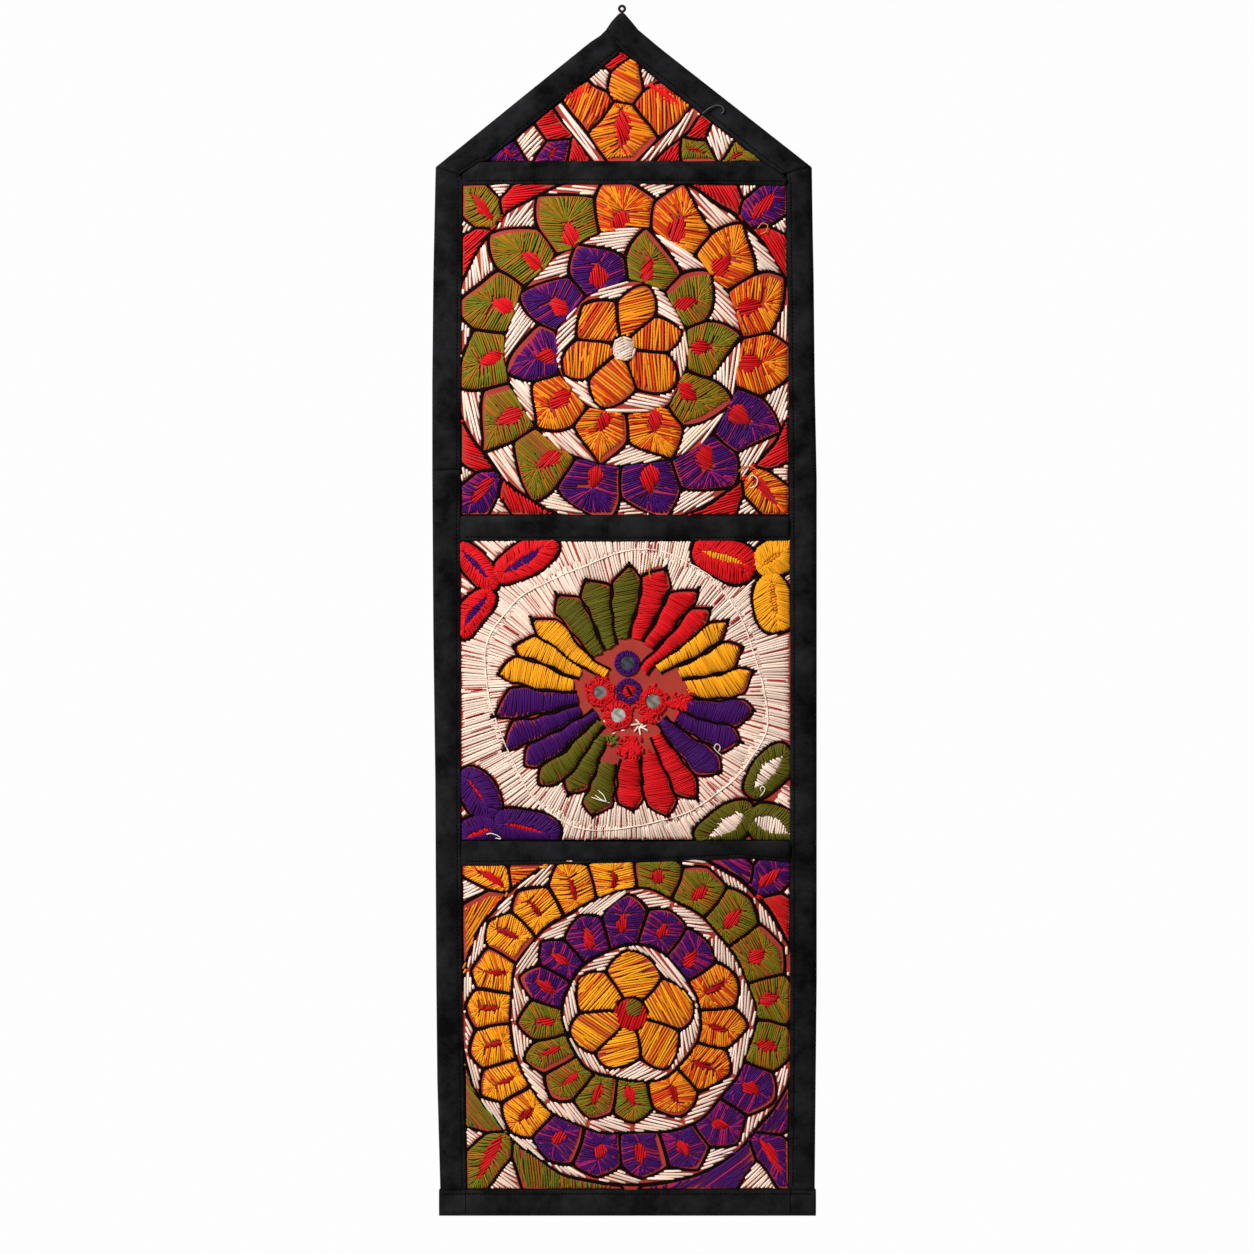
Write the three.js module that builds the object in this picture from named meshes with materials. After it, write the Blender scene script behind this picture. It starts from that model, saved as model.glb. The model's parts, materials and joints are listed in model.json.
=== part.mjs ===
// An embroidered wall organizer: a pointed hanging of black cotton round four embroidered panels.
// The panel in the gable is sewn flat. The three below it are pockets, each with a black band
// folded over its mouth, and black bindings close the sides, the gable and the foot.
// Millimetres, +Z up. The front faces -Y, the wall is the plane y = 0, and the origin is the
// centre of the hanging loop, from which everything else hangs.
import * as THREE from "three";

// Thickness of each cloth, and the clearance between pieces
const BINDING_THICK = 1.0;
const BACKING_THICK = 1.0;
const PANEL_THICK = 1.6;
const GAP = 0.35;

// Depth of each layer's back face from the wall, in the order in which they are sewn together
const BACKING_DEPTH = BINDING_THICK + GAP;
const BAND_DEPTH = BACKING_DEPTH + BACKING_THICK + GAP;
const PANEL_DEPTH = BAND_DEPTH + BINDING_THICK + GAP;
const FRONT_DEPTH = PANEL_DEPTH + PANEL_THICK + GAP;
const EDGE_DEPTH = FRONT_DEPTH + BINDING_THICK;

// How the pieces are tucked in, folded and filled out
const TUCK = 8;
const FOLD_ROOM = 3;
const FOLD_STEPS = 4;
const BAND_BACK_WIDTH = 12;
const STATION_STEP = 24;
const POCKET_PUFF = 9;
const PUFF_POWER = 2.2;
const FOOT_RAMP = 30;
const RELIEF = 1.1;
const RELIEF_INSET = 2.5;
const BAND_COVER = 21;
const HEM_STEP = 9;
const UNEVEN = 1.2;
const GROUND_STEP = 22;
const POINT_SPACING = 1.6;
const GROUND_CLEARANCE = 11;

// Hanging loop and mirrors
const LOOP_RADIUS = 2.3;
const LOOP_CORD = 0.85;
const MIRROR_RADIUS = 6;
const MIRROR_THICK = 0.8;
const MIRROR_STANDOFF = 0.45;

const black = new THREE.MeshStandardMaterial({ color: 0x1e1e1f, roughness: 0.95, metalness: 0 });
const brick = new THREE.MeshStandardMaterial({ color: 0xb23e34, roughness: 0.9, metalness: 0 });
const cord = new THREE.MeshStandardMaterial({ color: 0x241014, roughness: 0.8, metalness: 0 });
const glass = new THREE.MeshStandardMaterial({ color: 0x8e8a84, roughness: 0.15, metalness: 0.9 });

const organizer = new THREE.Group();

// Side bindings, from the shoulder down: where the outer fold and the inner edge are
const LEFT_UPPER = [
  { outerX: -149.3, outerZ: -127.2, innerX: -128.0, innerZ: -135.1 },
  { outerX: -150.4, outerZ: -177.6, innerX: -128.4, innerZ: -177.6 },
  { outerX: -151.2, outerZ: -217.6, innerX: -128.8, innerZ: -217.6 },
  { outerX: -152.0, outerZ: -297.6, innerX: -129.3, innerZ: -297.6 },
  { outerX: -152.0, outerZ: -370.0, innerX: -129.5, innerZ: -369.2 },
];
const LEFT_LOWER = [
  { outerX: -152.0, outerZ: -370.4, innerX: -129.5, innerZ: -369.6 },
  { outerX: -151.2, outerZ: -497.6, innerX: -129.6, innerZ: -497.6 },
  { outerX: -149.6, outerZ: -617.6, innerX: -129.4, innerZ: -617.6 },
  { outerX: -148.8, outerZ: -777.6, innerX: -128.4, innerZ: -777.6 },
  { outerX: -148.0, outerZ: -857.6, innerX: -126.8, innerZ: -857.6 },
  { outerX: -145.6, outerZ: -945.2, innerX: -124.8, innerZ: -945.2 },
];
const RIGHT_SIDE = [
  { outerX: 152.1, outerZ: -127.2, innerX: 132.0, innerZ: -132.5 },
  { outerX: 152.8, outerZ: -177.6, innerX: 132.2, innerZ: -177.6 },
  { outerX: 153.6, outerZ: -217.6, innerX: 132.6, innerZ: -217.6 },
  { outerX: 154.4, outerZ: -297.6, innerX: 133.4, innerZ: -297.6 },
  { outerX: 156.0, outerZ: -377.6, innerX: 134.2, innerZ: -377.6 },
  { outerX: 156.0, outerZ: -497.6, innerX: 134.8, innerZ: -497.6 },
  { outerX: 156.0, outerZ: -617.6, innerX: 135.2, innerZ: -617.6 },
  { outerX: 156.0, outerZ: -777.6, innerX: 134.8, innerZ: -777.6 },
  { outerX: 155.2, outerZ: -857.6, innerX: 134.2, innerZ: -857.6 },
  { outerX: 154.4, outerZ: -945.2, innerX: 133.6, innerZ: -945.2 },
];

// Gable bindings, from the shoulder up. The right one goes on round the pinched tip of the gable
// and laps over the left one, which stops at the slanting seam.
const GABLE_LEFT = [
  { outerX: -149.2, outerZ: -126.8, innerX: -130.8, innerZ: -133.6 },
  { outerX: -137.0, outerZ: -116.9, innerX: -122.2, innerZ: -128.0 },
  { outerX: -127.3, outerZ: -109.1, innerX: -113.6, innerZ: -122.4 },
  { outerX: -121.5, outerZ: -104.4, innerX: -108.0, innerZ: -121.6 },
  { outerX: -25.6, outerZ: -26.8, innerX: -12.0, innerZ: -43.4 },
  { outerX: -17.4, outerZ: -21.4, innerX: -5.2, innerZ: -37.9 },
  { outerX: -13.4, outerZ: -17.4, innerX: -0.3, innerZ: -33.8 },
];
const GABLE_RIGHT = [
  { outerX: 151.8, outerZ: -126.8, innerX: 128.8, innerZ: -132.8 },
  { outerX: 140.0, outerZ: -117.4, innerX: 121.5, innerZ: -128.0 },
  { outerX: 126.3, outerZ: -106.7, innerX: 113.6, innerZ: -122.8 },
  { outerX: 30.4, outerZ: -31.4, innerX: 17.7, innerZ: -47.5 },
  { outerX: 13.0, outerZ: -16.8, innerX: 0.0, innerZ: -33.6 },
  { outerX: 7.2, outerZ: -9.6, innerX: -1.3, innerZ: -32.0 },
  { outerX: 1.9, outerZ: -3.6, innerX: -2.6, innerZ: -30.3 },
  { outerX: -2.3, outerZ: -3.6, innerX: -4.2, innerZ: -28.4 },
  { outerX: -8.0, outerZ: -9.6, innerX: -6.6, innerZ: -25.3 },
  { outerX: -13.1, outerZ: -17.2, innerX: -9.2, innerZ: -22.1 },
];
const FOOT = [
  { outerX: -146.4, outerZ: -966.8, innerX: -146.4, innerZ: -945.6 },
  { outerX: 155.2, outerZ: -966.8, innerX: 155.2, innerZ: -945.6 },
];

// Back cloth, its edge hidden in the folds of the bindings
const BACKING = [
  { x: 0, z: -20 },
  { x: -144.5, z: -129.5 },
  { x: -147.2, z: -300 },
  { x: -146.4, z: -500 },
  { x: -143.9, z: -780 },
  { x: -141.2, z: -962 },
  { x: 149.9, z: -962 },
  { x: 151.2, z: -780 },
  { x: 151.2, z: -500 },
  { x: 149.4, z: -300 },
  { x: 147.3, z: -129.5 },
];

// Pockets from the mouth, a folded edge, down to the seam at the foot. left and right are the
// bindings' inner edges at both ends, and seated tells whether the foot is sewn to the back cloth.
const POCKETS = [
  {
    name: "pocket_1", mouth: -123.2, foot: -406.4, seated: true,
    mouthLeft: -128.0, mouthRight: 132.0, footLeft: -129.6, footRight: 134.4,
  },
  {
    name: "pocket_2", mouth: -406.4, foot: -666.4, seated: true,
    mouthLeft: -129.6, mouthRight: 134.4, footLeft: -128.9, footRight: 135.2,
  },
  {
    name: "pocket_3", mouth: -666.4, foot: -945.6, seated: false,
    mouthLeft: -128.9, mouthRight: 135.2, footLeft: -124.8, footRight: 133.6,
  },
];

// Bands over the mouths, from left to right: the folded upper edge and the stitched lower edge.
// The gable bindings cut off the upper corners of the first one.
const BANDS = [
  [
    { x: -127.7, top: -132.3, bottom: -141.4 },
    { x: -114.2, top: -123.3, bottom: -141.4 },
    { x: 113.4, top: -123.3, bottom: -141.8 },
    { x: 131.7, top: -135.2, bottom: -141.8 },
  ],
  [
    { x: -129.2, top: -406.4, bottom: -426.0 },
    { x: 2.0, top: -406.0, bottom: -426.8 },
    { x: 134.0, top: -406.8, bottom: -426.0 },
  ],
  [
    { x: -128.6, top: -666.4, bottom: -685.6 },
    { x: -2.0, top: -666.8, bottom: -683.2 },
    { x: 94.4, top: -666.0, bottom: -679.4 },
    { x: 134.7, top: -666.4, bottom: -683.2 },
  ],
];

// Half width of a petal against the distance along it, both as shares: broad ring petals, and
// the slender pointed ones of the middle pocket
const RING_PETAL = {
  rim: [
    { along: 0, across: 0.5 },
    { along: 0.34, across: 0.8 },
    { along: 0.68, across: 1 },
    { along: 0.9, across: 0.72 },
    { along: 1, across: 0.28 },
  ],
  crown: [
    { along: 0.2, across: 0 },
    { along: 0.48, across: 0.45 },
    { along: 0.76, across: 0.45 },
  ],
};
const POD_PETAL = {
  rim: [
    { along: 0, across: 0.45 },
    { along: 0.28, across: 0.8 },
    { along: 0.62, across: 1 },
    { along: 0.86, across: 0.72 },
    { along: 1, across: 0 },
  ],
  crown: [
    { along: 0.14, across: 0 },
    { along: 0.4, across: 0 },
    { along: 0.64, across: 0 },
    { along: 0.85, across: 0 },
  ],
};

// Raised petals of each panel. Rings: from and to are radii, turn is the first petal's angle from
// straight up, clockwise as seen, in degrees. Loose petals: x, z is the root, and angle as turn.
const RELIEFS = {
  gable_panel: {
    x: 0, z: 0, rings: [],
    loose: [
      { shape: RING_PETAL, x: 1.6, z: -70, length: 20, width: 20, angle: 0 },
      { shape: RING_PETAL, x: -2, z: -72, length: 42, width: 30, angle: 285 },
      { shape: RING_PETAL, x: 8, z: -72, length: 42, width: 30, angle: 72 },
      { shape: RING_PETAL, x: 2, z: -80, length: 38, width: 40, angle: 180 },
      { shape: RING_PETAL, x: -36, z: -112, length: 30, width: 16, angle: 250 },
      { shape: RING_PETAL, x: 46, z: -112, length: 34, width: 16, angle: 105 },
    ],
  },
  pocket_1: {
    x: 1.6, z: -273.6,
    rings: [
      { shape: RING_PETAL, from: 11, to: 46, count: 6, turn: 5 },
      { shape: RING_PETAL, from: 60, to: 94, count: 10, turn: -18 },
      { shape: RING_PETAL, from: 107, to: 139, count: 15, turn: 0 },
    ],
    loose: [
      { shape: RING_PETAL, x: -98, z: -172, length: 30, width: 26, angle: 315 },
      { shape: RING_PETAL, x: 100, z: -170, length: 30, width: 26, angle: 45 },
      { shape: RING_PETAL, x: -98, z: -376, length: 34, width: 28, angle: 225 },
      { shape: RING_PETAL, x: 100, z: -378, length: 34, width: 28, angle: 135 },
    ],
  },
  pocket_2: {
    x: 3.2, z: -546.4,
    rings: [{ shape: POD_PETAL, from: 30, to: 97, count: 24, turn: 7.5 }],
    loose: [
      { shape: RING_PETAL, x: -70, z: -432, length: 44, width: 22, angle: 250 },
      { shape: RING_PETAL, x: -104, z: -480, length: 26, width: 26, angle: 200 },
      { shape: RING_PETAL, x: 72, z: -434, length: 34, width: 24, angle: 100 },
      { shape: RING_PETAL, x: 116, z: -446, length: 52, width: 24, angle: 180 },
      { shape: RING_PETAL, x: -92, z: -632, length: 34, width: 26, angle: 300 },
      { shape: RING_PETAL, x: -96, z: -648, length: 44, width: 20, angle: 90 },
      { shape: RING_PETAL, x: 100, z: -640, length: 42, width: 28, angle: 25 },
      { shape: RING_PETAL, x: 96, z: -646, length: 34, width: 24, angle: 260 },
    ],
  },
  pocket_3: {
    x: 7.2, z: -804.8,
    rings: [
      { shape: RING_PETAL, from: 17, to: 49, count: 6, turn: 25 },
      { shape: RING_PETAL, from: 63, to: 91, count: 15, turn: 0 },
      { shape: RING_PETAL, from: 104, to: 136, count: 21, turn: 4 },
    ],
    loose: [
      { shape: RING_PETAL, x: -100, z: -712, length: 30, width: 24, angle: 315 },
      { shape: RING_PETAL, x: 106, z: -706, length: 28, width: 24, angle: 50 },
      { shape: RING_PETAL, x: -94, z: -906, length: 34, width: 26, angle: 225 },
      { shape: RING_PETAL, x: 104, z: -908, length: 32, width: 26, angle: 135 },
    ],
  },
};

// Small round mirrors in the middle of the second pocket
const MIRRORS = [
  { x: -17.6, z: -547.2 },
  { x: 24.8, z: -554.4 },
  { x: -3.2, z: -565.6 },
  { x: 4.0, z: -524.0 },
];

// Makes a closed solid from its points and triangles, turned so that its faces point out
function addSolid(name, look, points, faces) {
  const corner = (i) => new THREE.Vector3(...points[i]);
  const volume = faces.reduce((sum, [a, b, c]) => sum + corner(a).dot(corner(b).cross(corner(c))), 0);
  const outward = volume > 0 ? faces : faces.map(([a, b, c]) => [a, c, b]);
  const geometry = new THREE.BufferGeometry();
  geometry.setAttribute("position", new THREE.Float32BufferAttribute(points.flat(), 3));
  geometry.setIndex(outward.flat());
  geometry.computeVertexNormals();
  const mesh = new THREE.Mesh(geometry, look);
  mesh.name = name;
  organizer.add(mesh);
}

const mix = (a, b, share) => a + (b - a) * share;
const clamp = (value, low, high) => Math.min(Math.max(value, low), high);

// How far a pocket's cloth stands out at a place: nothing at its sides and foot, most at the
// middle of its mouth
function puff(pocket, x, z) {
  if (!pocket) return 0;
  const rise = clamp((z - pocket.foot) / (pocket.mouth - pocket.foot), 0, 1);
  const left = mix(pocket.footLeft, pocket.mouthLeft, rise);
  const right = mix(pocket.footRight, pocket.mouthRight, rise);
  const side = clamp((2 * x - left - right) / (right - left), -1, 1);
  return POCKET_PUFF * (1 - (1 - rise) ** PUFF_POWER) * (1 - side * side);
}

// Section of a strip folded in a U, as [distance in from the fold, depth]
function foldSection(frontWidth, backWidth, backDepth, frontDepth) {
  const outerRadius = (frontDepth - backDepth) / 2;
  const middle = (frontDepth + backDepth) / 2;
  const arc = (radius) =>
    Array.from({ length: FOLD_STEPS + 1 }, (_, i) => {
      const angle = Math.PI * (i / FOLD_STEPS - 0.5);
      return [outerRadius - radius * Math.cos(angle), middle + radius * Math.sin(angle)];
    });
  return [
    [backWidth, backDepth],
    ...arc(outerRadius),
    [frontWidth, frontDepth],
    [frontWidth, frontDepth - BINDING_THICK],
    ...arc(outerRadius - BINDING_THICK).reverse(),
    [backWidth, backDepth + BINDING_THICK],
  ];
}

// Joins a row of like sections into one closed strip, with flat ends
function addStrip(name, sections, flat) {
  const size = flat.length;
  const ends = THREE.ShapeUtils.triangulateShape(flat.map(([s, d]) => new THREE.Vector2(s, d)), []);
  const faces = [];
  const last = (sections.length - 1) * size;
  for (const [a, b, c] of ends) faces.push([a, b, c], [last + a, last + c, last + b]);
  const forward = THREE.ShapeUtils.area(flat.map(([s, d]) => new THREE.Vector2(s, d))) > 0;
  for (let row = 0; row < last; row += size) {
    for (let i = 0; i < size; i += 1) {
      const next = (i + 1) % size;
      const [a, b, c, d] = [row + i, row + next, row + size + next, row + size + i];
      faces.push(forward ? [a, c, b] : [a, b, c], forward ? [a, d, c] : [a, c, d]);
    }
  }
  addSolid(name, black, sections.flat(), faces);
}

// A binding folded over the edge of the hanging
function addBinding(name, rows) {
  const sections = rows.map(({ outerX, outerZ, innerX, innerZ }) => {
    const width = Math.hypot(innerX - outerX, innerZ - outerZ);
    const [alongX, alongZ] = [(innerX - outerX) / width, (innerZ - outerZ) / width];
    return foldSection(width, width, 0, EDGE_DEPTH)
      .map(([s, depth]) => [outerX + alongX * s, -depth, outerZ + alongZ * s]);
  });
  addStrip(name, sections, foldSection(2 * EDGE_DEPTH, 2 * EDGE_DEPTH, 0, EDGE_DEPTH));
}

// A band folded over the mouth of a pocket, standing out with it
function addBand(name, rows, pocket) {
  const stations = [rows[0]];
  for (let i = 1; i < rows.length; i += 1) {
    const [from, to] = [rows[i - 1], rows[i]];
    const steps = Math.ceil((to.x - from.x) / STATION_STEP);
    for (let step = 1; step <= steps; step += 1) {
      const share = step / steps;
      stations.push({
        x: mix(from.x, to.x, share),
        top: mix(from.top, to.top, share),
        bottom: mix(from.bottom, to.bottom, share),
      });
    }
  }
  const sections = stations.map(({ x, top, bottom }) =>
    foldSection(top - bottom, BAND_BACK_WIDTH, BAND_DEPTH, EDGE_DEPTH)
      .map(([s, depth]) => [x, -depth - puff(pocket, x, top - s), top - s]));
  addStrip(name, sections, foldSection(2 * BAND_BACK_WIDTH, BAND_BACK_WIDTH, BAND_DEPTH, EDGE_DEPTH));
}

// Circle through three flat points, with the points' numbers
function circled(points, a, b, c) {
  const [[ax, ay], [bx, by], [cx, cy]] = [points[a], points[b], points[c]];
  const [ux, uy, vx, vy] = [bx - ax, by - ay, cx - ax, cy - ay];
  const twice = 2 * (ux * vy - uy * vx);
  const [uu, vv] = [ux * ux + uy * uy, vx * vx + vy * vy];
  const [px, py] = [(vy * uu - uy * vv) / twice, (ux * vv - vx * uu) / twice];
  return { corners: twice > 0 ? [a, b, c] : [a, c, b], x: ax + px, y: ay + py, rr: px * px + py * py, twice };
}

// Delaunay triangles over flat points, adding the points one by one to a far larger triangle
function triangulate(points) {
  const far = 1e5;
  const thinnest = 1e-3;
  const count = points.length;
  const all = [...points, [-far, -far], [far, -far], [0, far]];
  let triangles = [circled(all, count, count + 1, count + 2)];
  points.forEach(([x, y], added) => {
    const struck = triangles.filter((t) => (x - t.x) ** 2 + (y - t.y) ** 2 < t.rr);
    const edges = new Map();
    for (const { corners: [a, b, c] } of struck) {
      for (const [from, to] of [[a, b], [b, c], [c, a]]) {
        if (!edges.delete(`${to},${from}`)) edges.set(`${from},${to}`, [from, to]);
      }
    }
    triangles = triangles.filter((t) => !struck.includes(t));
    for (const [from, to] of edges.values()) triangles.push(circled(all, from, to, added));
  });
  return triangles
    .filter((t) => Math.max(...t.corners) < count && Math.abs(t.twice) > thinnest)
    .map((t) => t.corners);
}

// Points along a closed outline, corners included, no more than a step apart
function walk(outline, step) {
  return outline.flatMap(([x, z], i) => {
    const [toX, toZ] = outline[(i + 1) % outline.length];
    const parts = Math.max(1, Math.round(Math.hypot(toX - x, toZ - z) / step));
    return Array.from({ length: parts }, (_, k) => [mix(x, toX, k / parts), mix(z, toZ, k / parts)]);
  });
}

// The points that raise one petal: its rim lies on the cloth and its crown stands above it
function petalPoints({ shape, x, z, length, width, angle }) {
  const [alongX, alongZ] = [Math.sin(THREE.MathUtils.degToRad(angle)), Math.cos(THREE.MathUtils.degToRad(angle))];
  const spread = (rows, raise) =>
    rows.flatMap(({ along, across }) =>
      (across ? [-across, across] : [0]).map((side) => {
        const [s, t] = [along * length, (side * width) / 2];
        return [x + alongX * s + alongZ * t, z + alongZ * s - alongX * t, raise];
      }));
  return [...spread(shape.rim, 0), ...spread(shape.crown, RELIEF)];
}

// Every petal of a panel, those of its rings and the loose ones
function petalsOf({ x, z, rings, loose }) {
  const ringed = rings.flatMap(({ shape, from, to, count, turn }) =>
    Array.from({ length: count }, (_, i) => {
      const angle = turn + (360 * i) / count + UNEVEN * Math.sin(2.4 * i);
      const radians = THREE.MathUtils.degToRad(angle);
      const root = from + UNEVEN * Math.sin(1.7 * i + 1);
      return {
        shape,
        x: x + root * Math.sin(radians),
        z: z + root * Math.cos(radians),
        length: to - root + UNEVEN * Math.sin(2.9 * i),
        width: (2 * Math.PI * mix(from, to, 0.68)) / count - 2 * POINT_SPACING,
        angle,
      };
    }));
  return [...ringed, ...loose];
}

// True where a flat point is inside a convex outline and at least a margin from its edges
function inside([x, z], outline, margin) {
  return outline.every(([ax, az], i) => {
    const [bx, bz] = outline[(i + 1) % outline.length];
    const distance = ((bx - ax) * (z - az) - (bz - az) * (x - ax)) / Math.hypot(bx - ax, bz - az);
    return distance > margin;
  });
}

// Ground points in staggered rows over the box of an outline
function groundPoints(outline, step) {
  const [left, right] = [Math.min(...outline.map(([x]) => x)), Math.max(...outline.map(([x]) => x))];
  const [low, high] = [Math.min(...outline.map(([, z]) => z)), Math.max(...outline.map(([, z]) => z))];
  const points = [];
  for (let row = 0, z = low + step / 2; z < high; z += step, row += 1) {
    const start = left + step * (row % 2 ? 0.48 : 0.97);
    for (let x = start; x < right; x += step) points.push([x, z + 0.01 * x, 0]);
  }
  return points;
}

// Keeps the points that are inside the outline and not crowded by those kept before
function thinned(points, kept, outline, margin, spacing) {
  for (const point of points) {
    const crowded = kept.some(([x, z]) => Math.hypot(point[0] - x, point[1] - z) < spacing);
    if (!crowded && inside(point, outline, margin)) kept.push(point);
  }
  return kept;
}

// An embroidered panel: a sheet whose front carries the raised petals. All outlines run
// anticlockwise as seen: the sheet's own, the frame along which it leaves the bindings, and the
// window that the relief keeps to. depthAt gives the depth of the sheet's back.
function addPanel(name, outline, frame, window, depthAt) {
  const edge = walk(outline, GROUND_STEP);
  const hem = [...walk(frame, HEM_STEP), ...walk(window, HEM_STEP)].map(([x, z]) => [x, z, 0]);
  const raised = petalsOf(RELIEFS[name]).flatMap(petalPoints);
  const framed = thinned(hem, [], outline, POINT_SPACING, POINT_SPACING);
  const relief = thinned(raised, framed, window, RELIEF_INSET, POINT_SPACING);
  const ground = groundPoints(outline, GROUND_STEP);
  const front = [...edge, ...thinned(ground, relief, outline, TUCK, GROUND_CLEARANCE)];
  const back = [...edge, ...thinned(ground, [], outline, TUCK, GROUND_CLEARANCE)];
  const points = [
    ...front.map(([x, z, raise = 0]) => [x, -depthAt(x, z) - PANEL_THICK - raise, z]),
    ...back.map(([x, z]) => [x, -depthAt(x, z), z]),
  ];
  const shift = front.length;
  const faces = triangulate(front);
  faces.push(...triangulate(back).map(([a, b, c]) => [a + shift, c + shift, b + shift]));
  edge.forEach((_, i) => {
    const next = (i + 1) % edge.length;
    faces.push([next, i, i + shift], [next, i + shift, next + shift]);
  });
  addSolid(name, brick, points, faces);
}

// Depth of a sewn-down foot: it drops back from the pocket's own layer to the back cloth
function seatedDepth(z, foot) {
  return mix(BAND_DEPTH, PANEL_DEPTH, clamp((z - foot) / FOOT_RAMP, 0, 1));
}

// The panel in the gable, its slanting edges under the bindings and its foot above the first band
function addGablePanel() {
  const foot = POCKETS[0].mouth + GAP;
  const outline = [[0, -23.5], [-122, foot], [124, foot]];
  const window = [[0, -33.6], [-109.6, foot], [113.7, foot]];
  addPanel("gable_panel", outline, window, window, (x, z) => seatedDepth(z, foot));
}

// A pocket, its sides under the bindings and its mouth inside the band's fold. The first one's
// upper corners are cut off under the gable bindings.
function addPocket(pocket, index) {
  const mouth = pocket.mouth - FOLD_ROOM;
  const foot = pocket.seated ? pocket.foot + 2 * GAP : pocket.foot - TUCK;
  const [left, right] = [pocket.mouthLeft, pocket.mouthRight];
  const top = index === 0
    ? [[140, -144.4], [right, -139.1], [112.4, mouth], [-112.8, mouth], [left, -136.4], [-136, -141.8]]
    : [[right + TUCK, mouth], [right, mouth], [left, mouth], [left - TUCK, mouth]];
  const outline = [...top, [pocket.footLeft - TUCK, foot], [pocket.footRight + TUCK, foot]];
  const framed = (upper) => [
    [right, upper],
    [left, upper],
    [pocket.footLeft, pocket.foot],
    [pocket.footRight, pocket.foot],
  ];
  const base = (z) => (pocket.seated ? seatedDepth(z, foot) : PANEL_DEPTH);
  addPanel(pocket.name, outline, framed(mouth), framed(pocket.mouth - BAND_COVER),
    (x, z) => base(z) + puff(pocket, x, z));
}

// The plain back cloth, flat behind everything
function addBacking() {
  const flat = BACKING.map(({ x, z }) => new THREE.Vector2(x, z));
  const count = flat.length;
  const points = [BACKING_DEPTH, BACKING_DEPTH + BACKING_THICK].flatMap((depth) =>
    BACKING.map(({ x, z }) => [x, -depth, z]));
  const faces = [];
  for (const [a, b, c] of THREE.ShapeUtils.triangulateShape(flat, [])) {
    faces.push([a, b, c], [a + count, c + count, b + count]);
  }
  const forward = THREE.ShapeUtils.area(flat) > 0;
  flat.forEach((_, i) => {
    const next = (i + 1) % count;
    const [a, b, c, d] = [i, next, next + count, i + count];
    faces.push(forward ? [a, c, b] : [a, b, c], forward ? [a, d, c] : [a, c, d]);
  });
  addSolid("back_cloth", black, points, faces);
}

// The ring of cord at the very top, centred on the origin
function addLoop() {
  const mesh = new THREE.Mesh(new THREE.TorusGeometry(LOOP_RADIUS, LOOP_CORD, 8, 20), cord);
  mesh.rotation.x = Math.PI / 2;
  mesh.position.y = -EDGE_DEPTH / 2;
  mesh.name = "hanging_loop";
  organizer.add(mesh);
}

// A small round mirror, lying on the curved front of the second pocket
function addMirror({ x, z }, index) {
  const pocket = POCKETS[1];
  const reach = MIRROR_RADIUS;
  const slopeX = (puff(pocket, x + reach, z) - puff(pocket, x - reach, z)) / (2 * reach);
  const slopeZ = (puff(pocket, x, z + reach) - puff(pocket, x, z - reach)) / (2 * reach);
  const disc = new THREE.CylinderGeometry(MIRROR_RADIUS, MIRROR_RADIUS, MIRROR_THICK, 20);
  const mesh = new THREE.Mesh(disc, glass);
  const standing = PANEL_DEPTH + PANEL_THICK + MIRROR_STANDOFF + MIRROR_THICK / 2;
  mesh.rotation.set(Math.atan(slopeZ), 0, -Math.atan(slopeX));
  mesh.position.set(x, -standing - puff(pocket, x, z), z);
  mesh.name = `mirror_${index + 1}`;
  organizer.add(mesh);
}

addBacking();
addGablePanel();
POCKETS.forEach(addPocket);
BANDS.forEach((rows, index) => addBand(`band_${index + 1}`, rows, POCKETS[index]));
addBinding("binding_left_upper", LEFT_UPPER);
addBinding("binding_left_lower", LEFT_LOWER);
addBinding("binding_right", RIGHT_SIDE);
addBinding("binding_gable_left", GABLE_LEFT);
addBinding("binding_gable_right", GABLE_RIGHT);
addBinding("binding_foot", FOOT);
addLoop();
MIRRORS.forEach(addMirror);

export default organizer;
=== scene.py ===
# %% [markdown]
# # An embroidered wall organizer
# The real thing is a pointed hanging almost a metre tall: black cotton round a small embroidered
# gable and three square pockets whose fronts are covered in hand embroidery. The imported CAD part
# fixes where every piece is. This notebook dresses it with cloth, thousands of separate stitches,
# small mirrors, light and a camera.

import json
import math

import bpy
import numpy as np
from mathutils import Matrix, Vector


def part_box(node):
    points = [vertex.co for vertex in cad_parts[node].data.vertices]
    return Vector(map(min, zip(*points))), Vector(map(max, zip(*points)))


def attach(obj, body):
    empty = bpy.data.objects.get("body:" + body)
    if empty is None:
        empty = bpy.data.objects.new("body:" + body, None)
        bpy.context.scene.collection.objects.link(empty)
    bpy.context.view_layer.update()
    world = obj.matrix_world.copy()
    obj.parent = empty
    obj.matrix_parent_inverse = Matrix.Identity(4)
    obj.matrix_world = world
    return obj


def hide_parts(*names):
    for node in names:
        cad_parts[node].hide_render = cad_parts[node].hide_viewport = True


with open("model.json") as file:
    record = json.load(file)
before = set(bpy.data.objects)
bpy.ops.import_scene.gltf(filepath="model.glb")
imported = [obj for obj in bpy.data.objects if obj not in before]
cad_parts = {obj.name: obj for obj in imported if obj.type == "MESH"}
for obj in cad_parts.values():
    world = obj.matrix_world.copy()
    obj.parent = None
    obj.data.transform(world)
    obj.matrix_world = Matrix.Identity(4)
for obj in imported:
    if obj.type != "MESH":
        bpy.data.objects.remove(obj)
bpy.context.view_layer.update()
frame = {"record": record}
MM = 0.001

# %% [markdown]
# ## Camera
# A picture of a flat thing is taken from straight in front and from far away, so that its edges
# stay parallel. A long lens does that. The distance follows from how wide a strip of the wall the
# picture shows.

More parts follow.
